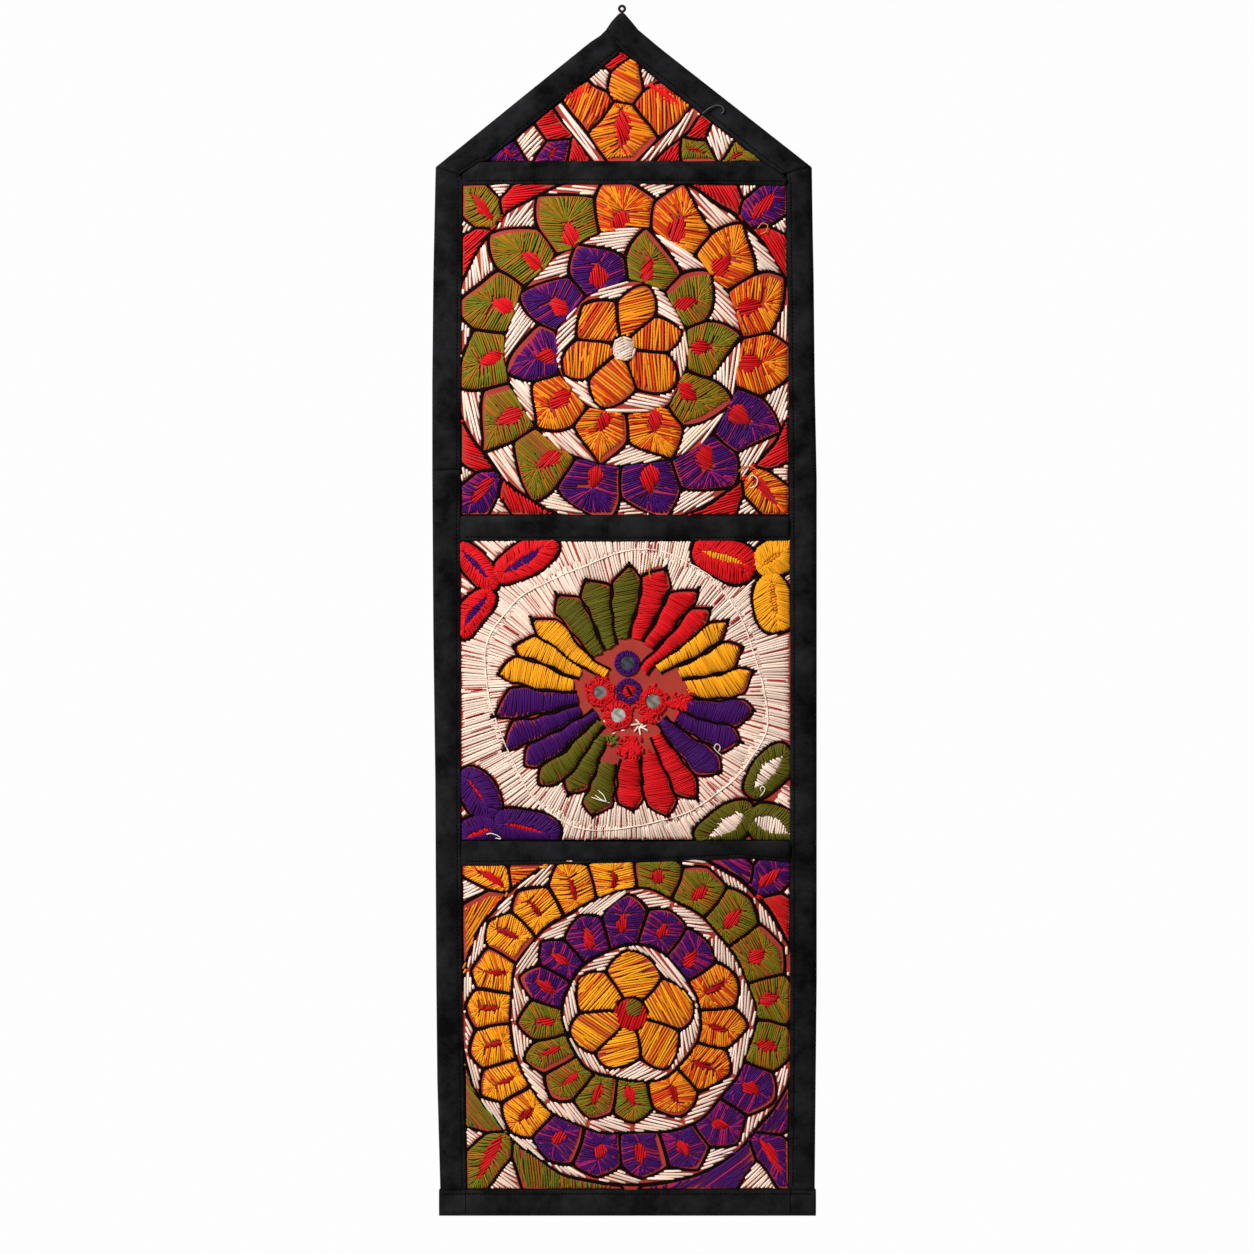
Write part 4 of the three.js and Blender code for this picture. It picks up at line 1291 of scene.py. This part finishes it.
def gable_fields():
    """The triangle cut by its two bands, and the bands themselves."""
    whole = WINDOWS["gable_panel"]
    left, right = GABLE_BANDS["left"], GABLE_BANDS["right"]
    fields = {
        "left": beside(whole, left, -1, BAND_HALF),
        "right": beside(whole, right, 1, BAND_HALF),
        "middle": beside(beside(whole, left, 1, BAND_HALF), right, -1, BAND_HALF),
    }
    bands = [beside(beside(whole, ends, 1, -BAND_HALF), ends, -1, -BAND_HALF)
             for ends in (left, right)]
    return fields, bands


def stitch_gable(outline, thread, leaf, slant):
    """Outlines and fills one shape of the gable."""
    if len(outline) > 2 and radius_of(outline) > 2 * MM:
        black_line("gable_panel", outline, closed=True, width=2.7)
        shape = dict(outline=outline, thread=thread, leaf=leaf, turn=slant, slant=slant)
        stitch_shape("gable_panel", shape, GABLE_PITCHES)


fields, bands = gable_fields()
for outline, slant in zip(bands, BAND_SLANTS):
    stitch_gable(outline, "cream", None, slant)
for field, window in fields.items():
    rows = [row[1:] for row in GABLE_SHAPES if row[0] == field]
    places = [flat_point(*row[:2]) for row in rows]
    sizes = [row[2] * MM for row in rows]
    for number, (_, _, _, thread, leaf, slant) in enumerate(rows):
        stitch_gable(nearest_part(places, sizes, number, window), thread, leaf, slant)
for start, end, half, slant in GABLE_PATCHES:
    patch = leaf_outline(np.array([start, end]) * MM, half * MM)
    satin("gable_panel", "red", clipped("gable_panel", patch), slant, 1.9, raised=1.3, cover=0.9)
print("gable shapes:", len(GABLE_SHAPES) + len(bands))

# %% [markdown]
# ## The flower of the middle pocket
# The second pocket is different. One large flower of twenty-four padded petals, in runs of three
# colours, stands on a cream ground. A padded petal is satin stitch laid over a filling, so its
# stitches arch high. Each petal is a spine that leans to its tip, with a width on either side that
# gives way to its neighbours.

# %% Stitch the padded petals
FLOWER = np.array([3.2, -546.4]) * MM
PETALS = [
    # colour, direction of the tip, distances of the start and the tip from the middle in mm
    ("G", 1, 40, 96), ("R", 17, 41, 100), ("R", 34, 40, 95), ("R", 44, 21, 92), ("Y", 55, 33, 96),
    ("Y", 70, 47, 98), ("Y", 82, 50, 102), ("P", 100, 50, 99), ("P", 114, 43, 97),
    ("P", 130, 36, 96), ("R", 145, 42, 99), ("R", 160, 53, 103), ("R", 176, 56, 96),
    ("G", 194, 60, 99), ("G", 208, 40, 90), ("G", 223, 33, 98), ("P", 233, 31, 99),
    ("P", 244, 40, 107), ("P", 258, 40, 105), ("Y", 277, 43, 100), ("Y", 292, 38, 93),
    ("Y", 308, 18, 92), ("G", 324, 36, 95), ("G", 340, 36, 94),
]
PETAL_TURNS = [0.5 * row[1] + 0.5 * (15 * number - 2) for number, row in enumerate(PETALS)]
PETAL_SHARES = [(0, 0.5), (0.05, 0.64), (0.3, 0.76), (0.55, 0.9), (0.8, 1), (0.9, 0.6), (1, 0)]
PETAL_HALF = 11 * MM
PETAL_LEAST = 3.4 * MM
PETAL_ROOM = 1.2 * MM
PETAL_POINTS = 25
OLIVE = np.array([0.9, 0.68, 0.7])


def long_petal(number, bend, lumps, spare=0.0, longer=0.0):
    """A long lumpy petal that widens outwards to a crooked point, clear of its neighbours."""
    _, tip_turn, root, tip = PETALS[number]
    last, following = len(PETALS) - 1, (number + 1) % len(PETALS)
    turn = PETAL_TURNS[number]
    before = PETAL_TURNS[number - 1] - (360 if number == 0 else 0)
    after = PETAL_TURNS[following] + (360 if number == last else 0)
    shares = np.linspace(0, 1, PETAL_POINTS)
    reach = root * MM + ((tip - root) * MM + longer) * shares
    lean = math.tan(math.radians(tip_turn - turn)) * tip * MM
    aside = bend * np.sin(math.pi * shares) + lean * np.clip(shares * 4 - 3, 0, 1) ** 1.5
    axis, side = pointing(turn), pointing(turn + 90)
    spine = FLOWER + axis * reach[:, None] + side * aside[:, None]
    first = min(PETALS[number - 1][2], PETALS[following][2]) * MM
    packed = np.clip((reach - first) / (6 * MM) + 1, 0, 1)
    full = np.interp(shares, *np.array(PETAL_SHARES).T) * PETAL_HALF
    edges = []
    for way, lump, apart in zip((1, -1), lumps, (after - turn, turn - before)):
        free = reach * math.tan(math.radians(apart / 2)) - PETAL_ROOM
        halves = np.minimum(full, np.maximum(free * packed, PETAL_LEAST))
        wave = 0.8 * MM * np.sin(shares * (15 + lump) + lump) * np.sin(math.pi * shares)
        edges.append(spine + side * way * (halves + wave + spare)[:, None])
    return np.concatenate([edges[1], edges[0][::-1]])


flower_outlines = []
for number, (letter, tip_turn, _, _) in enumerate(PETALS):
    bend, lumps = draw.uniform(-1.2, 1.2) * MM, draw.uniform(0, 6, 2)
    petal = long_petal(number, bend, lumps)
    satin("pocket_2", LETTERS[letter], petal, PETAL_TURNS[number] + 90 + draw.normal(0, 9), 1.2,
          raised=1.3, cover=1.12, shade=OLIVE if letter == "G" else 1.0)
    around = long_petal(number, bend, lumps, spare=0.9 * MM, longer=2.2 * MM)
    black_line("pocket_2", around, width=2.2, height=1.6)
    point = (around[PETAL_POINTS - 1] + around[PETAL_POINTS]) / 2
    out = pointing(tip_turn) * MM
    ends = warped("pocket_2", [point - out * 2, point + out * draw.uniform(1, 5)])
    add_stitch("pocket_2", "black", *ends, 2.8, raised=(0.6, 0.0), arch=0.3)
    flower_outlines.append(around)
print("padded petals:", len(flower_outlines))

# %% [markdown]
# ## Petals in the corners
# Groups of three broad petals fill the four corners of the middle pocket. Their strands run in to
# a slit of another colour, and a second, smaller round of strands pads most of them. The green
# ones have a wide cream slit instead of the second round.

# %% Stitch the groups of petals in the corners
CORNER_PETALS = [
    # x, z of the middle, length, width, direction, thread, thread of the slit, slit width
    (-78, -441, 62, 29, 56, "red", "purple", 0.2),
    (-117, -447, 50, 23, 142, "red", "purple", 0.18),
    (-119, -484, 46, 27, 215, "red", "purple", 0.2),
    (81, -440, 54, 35, 112, "red", "gold", 0.12),
    (122, -440, 42, 32, 60, "gold", "orange", 0.08),
    (121, -476, 50, 34, 165, "gold", "orange", 0.08),
    (-114, -629, 50, 31, 146, "purple", "red", 0.06),
    (-76, -657, 56, 33, 103, "purple", "red", 0.08),
    (-116, -661, 38, 30, 250, "purple", "red", 0.12),
    (118, -612, 52, 29, 40, "green", "cream", 0.26),
    (84, -655, 56, 32, 238, "green", "cream", 0.26),
    (121, -655, 44, 36, 115, "green", "cream", 0.26),
]


def blunt_petal(centre, turn, length, width):
    """A broad petal with rounded ends, fuller towards its outer end."""
    turns = np.linspace(0, 2 * math.pi, 48, endpoint=False)
    axis, side = pointing(turn), pointing(turn + 90)
    along = np.sign(np.cos(turns)) * np.abs(np.cos(turns)) ** 0.85 * length / 2
    fullness = 1 + 0.12 * np.cos(turns)
    across = np.sign(np.sin(turns)) * np.abs(np.sin(turns)) ** 0.7 * width / 2 * fullness
    return centre + axis * along[:, None] + side * across[:, None]


corner_outlines = []
for x, z, length, width, turn, thread, slit, slit_width in CORNER_PETALS:
    centre = flat_point(x, z)
    whole = blunt_petal(centre, turn, length * MM, width * MM)
    reach = pointing(turn) * 0.34 * length * MM
    leaf = np.array([centre - reach, centre + reach])
    half = slit_width * width * MM
    inner = drawn_in(whole, 1.3 * MM)
    for _ in range(1 if slit == "cream" else 2):
        fan("pocket_2", thread, clipped("pocket_2", inner), leaf, half, 1.8, raised=1.5,
            cover=1.02, shade=OLIVE if thread == "green" else 1.0)
        inner = drawn_in(inner, width * 0.2 * MM)
    satin("pocket_2", slit, clipped("pocket_2", leaf_outline(leaf, half)), turn + 75, 1.9,
          raised=1.3, cover=0.95)
    whole = clipped("pocket_2", whole)
    black_line("pocket_2", whole, closed=True, width=2.6, height=1.3)
    corner_outlines.append(whole)
print("corner petals:", len(corner_outlines))

# %% [markdown]
# ## The cream ground
# Round the flower the cloth is filled with cream stitches that all point at the flower's middle,
# in three rounds, with brick cloth showing between them and a red one here and there. They must
# not run over a petal, so each one is tried at 25 points, and at a millimetre to either side, and
# only its longest free stretch is sewn. A thin cream line is couched over them, which means that
# small stitches hold it down.


# %% Stitch the cream ground
def inside_any(points, outlines):
    """Which points lie inside at least one outline."""
    found = np.zeros(len(points), dtype=bool)
    for outline in outlines:
        following = np.roll(outline, -1, axis=0)
        x, z = points[:, 0, None], points[:, 1, None]
        spans = (outline[:, 1] > z) != (following[:, 1] > z)
        drop = np.where(following[:, 1] == outline[:, 1], 1, following[:, 1] - outline[:, 1])
        crossing = outline[:, 0] + (z - outline[:, 1]) / drop * (following[:, 0] - outline[:, 0])
        found |= (spans & (x < crossing)).sum(axis=1) % 2 == 1
    return found


GROUND_ROUNDS = [(74, 111), (111, 150), (150, 192)]
GROUND_PITCH = 2.1
GROUND_SHADE = np.array([1.0, 0.99, 0.97])
COUCHED_RADIUS = 111
COUCHED_STITCHES = 84
for near, far in GROUND_ROUNDS:
    count = int(math.pi * (max(near, 90) + far) / GROUND_PITCH)
    for number in range(count):
        heading = pointing(360 * number / count + draw.normal(0, 0.16))
        reaches = np.linspace((near - draw.uniform(0, 3)) * MM, (far + draw.uniform(0, 2)) * MM, 25)
        points = FLOWER + heading * reaches[:, None]
        free = ~outside_window("pocket_2", points)
        for shift in (-1, 0, 1):
            beside_it = points + np.array([heading[1], -heading[0]]) * shift * MM
            free &= ~inside_any(beside_it, flower_outlines + corner_outlines)
        changes = np.flatnonzero(np.diff(np.concatenate([[0], free, [0]])))
        starts, stops = changes[::2], changes[1::2] - 1
        if not len(starts) or (stops - starts).max() < 2:
            continue
        longest = int(np.argmax(stops - starts))
        width = GROUND_PITCH * draw.choice([0.66, 0.85, 0.96, 1.02], p=[0.12, 0.26, 0.32, 0.3])
        ends = warped("pocket_2", points[[starts[longest], stops[longest]]])
        add_stitch("pocket_2", "cream", *ends, width, arch=0.25, stray=0.3, shade=GROUND_SHADE)
        if draw.random() < 0.08:
            share = draw.uniform(0.0, 0.3)
            dash = ends[0] + (ends[1] - ends[0]) * np.array([[share], [share + 0.65]])
            add_stitch("pocket_2", "red", *dash, draw.uniform(0.6, 1.3), raised=(1.1, 1.1),
                       arch=0.2, stray=0.4, shade=0.62)
for number in range(COUCHED_STITCHES):
    turns = 360 / COUCHED_STITCHES * np.array([number, number + 1.1])
    reaches = COUCHED_RADIUS + 4 * np.sin(np.radians(4 * turns))
    ends = FLOWER + pointing(turns) * reaches[:, None] * MM
    if not outside_window("pocket_2", ends).any():
        add_stitch("pocket_2", "cream", *warped("pocket_2", ends), 1.2,
                   raised=draw.uniform(0.9, 1.1, 2), arch=0.2, stray=0.25, shade=1.1)
print("cream stitches:", len(collections["pocket_2", "cream"]))

# %% [markdown]
# ## The middle of the flower
# A small round mirror has no hole to sew it on by, so a ring of buttonhole stitches laps over its
# rim and holds it to the cloth. Loose red stitches spread from it over the cloth around. The
# fourth mirror is held by a purple ring, which the next step makes.

# %% Ring the mirrors
MIRROR_RADIUS = 6 * MM
MIRROR_PLACES = {}
for name in ("mirror_1", "mirror_2", "mirror_3", "mirror_4"):
    low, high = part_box(name)
    MIRROR_PLACES[name] = np.array([(low.x + high.x) / 2, (low.z + high.z) / 2])


def stitched_ring(thread, centre, inner, outer, count, raised):
    """Buttonhole stitches all round, with a cord of stitches along their outer ends."""
    for number in range(count):
        turn = 360 * number / count + draw.normal(0, 2)
        swing = pointing(turn + draw.normal(8, 4))
        add_stitch("pocket_2", thread, centre + pointing(turn) * inner, centre + swing * outer,
                   draw.uniform(1.5, 1.9), raised=(raised, 0.2), arch=0.6, stray=0.3)
    rounds = int(count * 0.8)
    for number in range(rounds):
        ends = [centre + pointing(360 * (number + part) / rounds) * outer * 0.94
                for part in (0, 1.35)]
        add_stitch("pocket_2", thread, *ends, 1.5, raised=(0.5, 0.5), arch=0.6, stray=0.25)


def round_patch(panel, thread, centre, turn, radius, half, pitch, width, least=2.0, share=1.0,
                **look):
    """Parallel stitches over a disc, in rows up to half from its middle. Sizes in millimetres."""
    heading, side = pointing(turn), pointing(turn + 90)
    for offset in np.arange(-half, half + 0.1, pitch):
        reach = math.sqrt(max(least**2, radius**2 - offset**2)) * share
        ends = [centre + (side * offset + heading * way * reach) * MM for way in (-1, 1)]
        add_stitch(panel, thread, *ends, width, **look)


for name, place in MIRROR_PLACES.items():
    if name == "mirror_4":
        continue
    inner = MIRROR_RADIUS * (0.84 if name == "mirror_1" else 0.98)
    stitched_ring("red", place, inner, draw.uniform(11, 12) * MM, 30, raised=1.5)
    for turn in draw.uniform(0, 360, 34):
        start = place + pointing(turn) * draw.uniform(8, 12.5) * MM
        end = start + pointing(turn + draw.choice([70, 110, 20])) * draw.uniform(2.5, 5) * MM
        add_stitch("pocket_2", "red", start, end, draw.uniform(1.2, 1.8), raised=(0.6, 0.4),
                   arch=0.7, shade=draw.uniform(0.6, 1))
print("mirrors with a red ring:", len(MIRROR_PLACES) - 1)

# %% [markdown]
# ## Eyelets and odd stitches
# The same ring is made twice in purple. The upper one holds the fourth mirror, and the lower one
# is filled with red stitches. A loose star and a few odd blobs and dashes lie below, as if ends of
# thread had been used up. A blob is nothing but short stitches in all directions.

# %% Stitch the eyelets and the odd stitches
UPPER_EYELET, LOWER_EYELET = flat_point(4.0, -524.0), flat_point(5.4, -546.2)
for eyelet in (UPPER_EYELET, LOWER_EYELET):
    stitched_ring("purple", eyelet, 5.4 * MM, 10.2 * MM, 26, raised=0.9)
round_patch("pocket_2", "red", LOWER_EYELET, turn=75, radius=5.2, half=4.5, pitch=1.6, width=1.5,
            least=1.0)
SLASH = flat_point(3.6, -543.0), flat_point(7.4, -549.6)
add_stitch("pocket_2", "black", *SLASH, 2.0, raised=(0.8, 0.8), arch=0.4)
STAR = flat_point(13.8, -574.9)
for turn, length in ((10, 8), (70, 6), (120, 8), (170, 7), (220, 6), (265, 7), (320, 6)):
    root = STAR + pointing(turn + 90) * draw.uniform(-2, 2) * MM
    add_stitch("pocket_2", "cream", root, root + pointing(turn) * length * MM, 1.5,
               raised=(0.5, 0.3), arch=0.5)
BLOBS = [
    # x, z, length, width, thread
    (46.2, -554.4, 15, 13, "red"), (6.5, -591.0, 18, 17, "red"), (-7.5, -586.5, 8, 5, "green"),
    (19.0, -567.0, 14, 6, "red"),
]
for x, z, length, width, thread in BLOBS:
    for _ in range(int(length * width / 3)):
        start = flat_point(x, z) + draw.normal(0, 1, 2) * np.array([length, width]) / 4 * MM
        add_stitch("pocket_2", thread, start, start + pointing(draw.uniform(0, 360)) * 5 * MM,
                   1.8, raised=(0.4, 0.4), arch=0.8)
DASHES = ((-14.8, -569.8, 130), (-13.1, -587.3, 80), (-0.9, -577.8, 90), (-8, -581, 60))
for x, z, turn in DASHES:
    start = flat_point(x, z)
    add_stitch("pocket_2", "cream", start, start + pointing(turn) * 3.5 * MM, 1.4)
print("eyelets done, with", len(BLOBS), "blobs and", len(DASHES), "dashes")

# %% [markdown]
# ## The middles of the ringed pockets
# The first pocket has a cream button of three layers of stitches, each turned against the last.
# The third has a red disc with a smaller green one that sits off its middle. All of them are
# parallel stitches cut to a circle, so the helper that filled the eyelet serves again.

# %% Stitch the middles of the ringed pockets
BUTTON = flat_point(*RINGED["pocket_1"]["middle"])
BUTTON_LAYERS = ((20, 1.2), (110, 1.9), (65, 2.4))
for layer, (turn, lift) in enumerate(BUTTON_LAYERS):
    round_patch("pocket_1", "cream", BUTTON, turn=turn, radius=9.6, half=8.5, pitch=2.1, width=1.9,
                share=1 - 0.12 * layer, raised=(lift * 0.4, lift * 0.4), arch=lift, stray=0.6,
                shade=0.82)
RED_DISC, GREEN_DISC = flat_point(7.0, -804.9), flat_point(9.3, -799.1)
round_patch("pocket_3", "red", RED_DISC, turn=20, radius=13, half=12.5, pitch=2.2, width=2.0,
            arch=0.8, shade=0.8)
round_patch("pocket_3", "green", GREEN_DISC, turn=60, radius=6.8, half=6, pitch=1.7, width=1.8,
            raised=(1.0, 1.0), arch=1.0, shade=0.8)
print("a button of", len(BUTTON_LAYERS), "layers and two discs")

# %% [markdown]
# ## From lists to meshes
# All the stitches are only rows of numbers so far. The topstitches join them now, with two short
# upright seams where the foot binding's ends are sewn down. Then each thread of each panel becomes
# one mesh. One object for each stitch would give thirteen thousand objects, which no program
# handles well.

# %% Turn the collected stitches and outlines into meshes
FOOT_SEAMS = (-125.2, 134.4)
FOOT_FOLD = -966.8
FOOT_WIDTH = 21.2 * MM
SEAM_STITCH = 3.4
TOPSTITCH_WIDTH = 0.75
TOPSTITCH_RISE = 0.3
for x in FOOT_SEAMS:
    for z in np.arange(-964.5, -947.5, 3.2):
        ends = []
        for height in (z, z + SEAM_STITCH):
            depth, share = leg_depth(FOOT_WIDTH, EDGE_DEPTH, (height - FOOT_FOLD) * MM)
            lift = share * crumple(x * MM, height * MM)
            ends.append((x * MM, height * MM, (depth + lift) / MM + 0.1))
        topstitches.append(ends)
for start, end in topstitches:
    add_stitch("border", "black", start[:2], end[:2], TOPSTITCH_WIDTH,
               raised=(start[2] + TOPSTITCH_RISE, end[2] + TOPSTITCH_RISE), arch=0.25, stray=0.1,
               shade=np.array([0.7, 1.4, 1.5]))
stitch_pieces = {name: [] for name in (*PANELS, "border")}
for (panel, thread), rows in collections.items():
    stitch_pieces[panel].append(strand_mesh(panel, thread, rows))
for panel in PANELS:
    stitch_pieces[panel].append(line_mesh(panel))
print("stitches:", sum(len(rows) for rows in collections.values()))
print("triangles in thread:", sum(2 * len(piece.data.polygons)
                                  for group in stitch_pieces.values() for piece in group))

# %% [markdown]
# ## Mirrors
# The mirrors are thin cut glass, a little dull and never quite flat. Their discs are finer than
# the CAD ones, slightly buckled and bevelled at the rim. In a bare studio a true mirror would
# reflect only one pale wall, so a painted reflection, a cloudy tone as if of a room, is stored on
# each.

# %% Make the mirrors
mirror_glass, mirror_tree, mirror_shader = start_finish(
    "small_mirror", slot_colour("small_mirror"), 0.22
)
mirror_shader.inputs["Metallic"].default_value = 0.6
shade_by_mesh(mirror_tree, mirror_shader, slot_colour("small_mirror"))
finishes["small_mirror"] = mirror_glass
# painted reflections: how light or dark a room each mirror seems to reflect
MIRROR_PAINTED_REFLECTIONS = {"mirror_1": (1.1, 1.1, 1.1), "mirror_2": (1.5, 1.4, 1.25),
                "mirror_3": (2.7, 2.7, 2.6), "mirror_4": (0.35, 0.42, 0.5)}
MIRROR_THICK = 0.8 * MM
MIRROR_STANDOFF = 0.45 * MM
BEVEL = 0.2 * MM
MIRROR_RINGS = (0, 0.15, 0.3, 0.45, 0.6, 0.75, 0.88, 0.95, 1.0)
turns = np.linspace(0, 2 * math.pi, 28, endpoint=False)
for number, (name, place) in enumerate(MIRROR_PLACES.items()):
    points = []
    for side in ("front", "back"):
        for share in MIRROR_RINGS:
            reach = MIRROR_RADIUS * share * (1 + 0.03 * np.sin(3 * turns + number))
            x, z = place[0] + reach * np.cos(turns), place[1] + reach * np.sin(turns)
            buckle = 0.12 * MM * np.sin(x / (1.1 * MM) + number) * np.sin(z / (0.9 * MM))
            bevel = BEVEL * (share == 1.0)
            seat = PANEL_DEPTH + PANEL_THICK + MIRROR_STANDOFF + puff(PANELS["pocket_2"], x, z)
            depth = seat + (MIRROR_THICK - bevel + buckle if side == "front" else bevel)
            points.append(np.stack([x, -depth, z], axis=1))
    points = np.concatenate(points)
    grid = grid_faces(len(MIRROR_RINGS), len(turns), closed=True)
    shift = len(MIRROR_RINGS) * len(turns)
    rim = np.arange(shift - len(turns), shift)
    following = np.roll(rim, -1)
    edge = np.stack([rim, following, following + shift, rim + shift], axis=1)
    piece = make_piece(f"{name}_disc", points, np.concatenate([grid, (grid + shift)[:, ::-1], edge]),
                       "small_mirror", name)
    x, z = points[:, 0] / MM, points[:, 2] / MM
    # painted reflection: a rippled cloudy tone over each disc
    painted_reflection_ripple = 1 + 0.35 * np.sin(x / 1.4 + 2 * np.sin(z / 1.7))
    store_shade(piece, np.array(MIRROR_PAINTED_REFLECTIONS[name]) * painted_reflection_ripple[:, None])
print("mirrors:", len(MIRROR_PLACES))

# %% [markdown]
# ## Hanging loop
# The loop at the top is a short end of dark cord, two plies twisted round each other and joined in
# a ring, with a short neck that goes down into the binding. Each ply is a tube whose middle line
# winds round the ring.

# %% Twist the hanging loop
LOOP_RADIUS = 2.3 * MM
PLY_RADIUS = 0.62 * MM
PLY_OFFSET = 0.55 * MM
NECK_RADIUS = 1.25 * MM
LOOP_TWISTS = 7
TUBE_SIDES = 8
TUBE_POINT = 0.15
NECK = [(0, -1.9), (0.1, -2.6), (0.2, -4.0), (0.3, -5.5), (0.3, -7.5)]
finishes["loop_cord"] = start_finish("loop_cord", slot_colour("loop_cord"), 0.7, 0.3)[0]


def tube(name, line, radius, slot, closed, node=None):
    """A round tube along a line of points, closed in a ring or open with pointed ends."""
    line = np.array(line)
    if closed:
        ahead = np.roll(line, -1, axis=0) - np.roll(line, 1, axis=0)
    else:
        ahead = np.gradient(line, axis=0)
    ahead /= np.linalg.norm(ahead, axis=1)[:, None]
    side = np.cross(ahead, [0, 1, 0.02])
    side /= np.linalg.norm(side, axis=1)[:, None]
    up = np.cross(side, ahead)
    turns = np.linspace(0, 2 * math.pi, TUBE_SIDES, endpoint=False)
    swell = np.ones(len(line))
    if not closed:
        swell[[0, -1]] = TUBE_POINT
    ring = side[:, None] * np.cos(turns)[:, None] + up[:, None] * np.sin(turns)[:, None]
    points = (line[:, None] + ring * (radius * swell)[:, None, None]).reshape(-1, 3)
    faces = grid_faces(len(line), TUBE_SIDES, closed=True).tolist()
    first = list(range(TUBE_SIDES))
    last = [(len(line) - 1) * TUBE_SIDES + i for i in first]
    if closed:
        faces += [[last[i], last[j], j, i] for i, j in zip(first, first[1:] + first[:1])]
    else:
        faces += [first[::-1], last]
    return make_piece(name, points, faces, slot, node)


loop_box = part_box("hanging_loop")
loop_y = (loop_box[0].y + loop_box[1].y) / 2
loop_turns = np.linspace(0, 2 * math.pi, 96, endpoint=False)
for ply in (0, 1):
    twist = LOOP_TWISTS * loop_turns + math.pi * ply
    reach = LOOP_RADIUS + PLY_OFFSET * np.cos(twist)
    line = np.stack([reach * np.sin(loop_turns), loop_y + PLY_OFFSET * np.sin(twist),
                     reach * np.cos(loop_turns)], axis=1)
    tube(f"hanging_loop_ply_{ply + 1}", line, PLY_RADIUS, "loop_cord", True, "hanging_loop")
tube("hanging_loop_neck", [(x * MM, loop_y, z * MM) for x, z in NECK], NECK_RADIUS, "loop_cord",
     False, "hanging_loop")
print("loop twisted from two plies")

# %% [markdown]
# ## Loose ends
# Hand work leaves a few ends of thread that curl away from the face. Each is a thin tube along a
# few listed points, smoothed, and lifted in an arch above the stitches.

# %% Leave a few loose ends
THREAD_RADIUS = 0.42 * MM
LOOSE_LIFT = 0.6 * MM
BLACK_SHADE = (12, 24, 24)
LOOSE_ENDS = [
    # panel, thread, how far it stands off, points x and z, all in millimetres
    ("border", "black", 1.6, [(64, -85), (69, -81), (75, -78), (80, -79), (82, -83), (79, -85)]),
    ("pocket_1", "orange", 2.2, [(108, -177), (112, -172), (117, -174), (115, -180), (110, -181)]),
    ("pocket_1", "orange", 2.2, [(93, -371), (99, -366), (106, -368), (111, -374)]),
    ("pocket_1", "cream", 2.2, [(101, -378), (104, -373), (109, -377), (107, -383), (101, -384)]),
    ("pocket_2", "cream", 2.4, [(80, -598), (76, -595), (73, -591), (76, -588), (79, -591),
                                (77, -595)]),
    ("pocket_2", "cream", 2.6, [(110, -631), (113, -628), (115, -624), (112, -622), (110, -625),
                                (113, -628)]),
    ("pocket_2", "cream", 3.0, [(-25, -631), (-16, -634), (-9, -636)]),
    ("pocket_2", "cream", 3.0, [(-20, -625), (-15, -629), (-12, -635), (-17, -633), (-22, -629)]),
    ("pocket_2", "cream", 3.2, [(-111, -662), (-105, -660), (-99, -662), (-96, -665), (-102, -664)]),
    ("pocket_2", "orange", 1.6, [(21.5, -440), (22.4, -446), (21.6, -452), (23, -457)]),
]
for number, (panel, thread, off, points) in enumerate(LOOSE_ENDS):
    path = spaced(np.array(points, float) * MM, 0.9 * MM, closed=False)
    for _ in range(4):
        path[1:-1] = (path[:-2] + 2 * path[1:-1] + path[2:]) / 4
    rise = off * MM * np.sin(math.pi * np.linspace(0.06, 0.94, len(path)))
    ground = face_depth(panel, path[:, 0], path[:, 1])
    if panel == "border":
        ground = ground + EDGE_DEPTH + PANEL_THICK
    line = np.stack([path[:, 0], -(ground + LOOSE_LIFT + rise), path[:, 1]], axis=1)
    piece = tube(f"loose_end_{number + 1}", line, THREAD_RADIUS, f"thread_{thread}", False)
    piece.data.uv_layers.new(name="along")
    store_shade(piece, BLACK_SHADE if panel == "border" else 1.0)
    stitch_pieces[panel].append(piece)
print("loose ends:", len(LOOSE_ENDS))

# %% [markdown]
# ## Sizes of the cloth pieces
# Each panel's size is read from its CAD part, and nothing more is done with it here. The folded
# strips are as long as their fold and as wide as both legs together.

for name, piece in panel_cloths.items():
    low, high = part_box(name)
    width, length = high.x - low.x, high.z - low.z
    share = 0.5 if name == "gable_panel" else 0.99
for name, (piece, length) in strips.items():
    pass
print("sheets declared:", 1 + len(panel_cloths) + len(strips))

# %% [markdown]
# ## Floor
# The hanging is seen against a bright room, with no wall behind it. A small pale floor below the
# picture catches its light and gives views from the side something to stand over.

# %% Put a pale floor below
bpy.ops.mesh.primitive_plane_add(size=1, location=(0, -0.02, -1.06))
floor = bpy.context.object
floor.name = "floor"
floor.scale = (1.2, 0.5, 1)
floor.data.materials.append(start_finish("floor_paint", (0.85, 0.85, 0.84), 0.8)[0])
print("floor placed under the hanging")
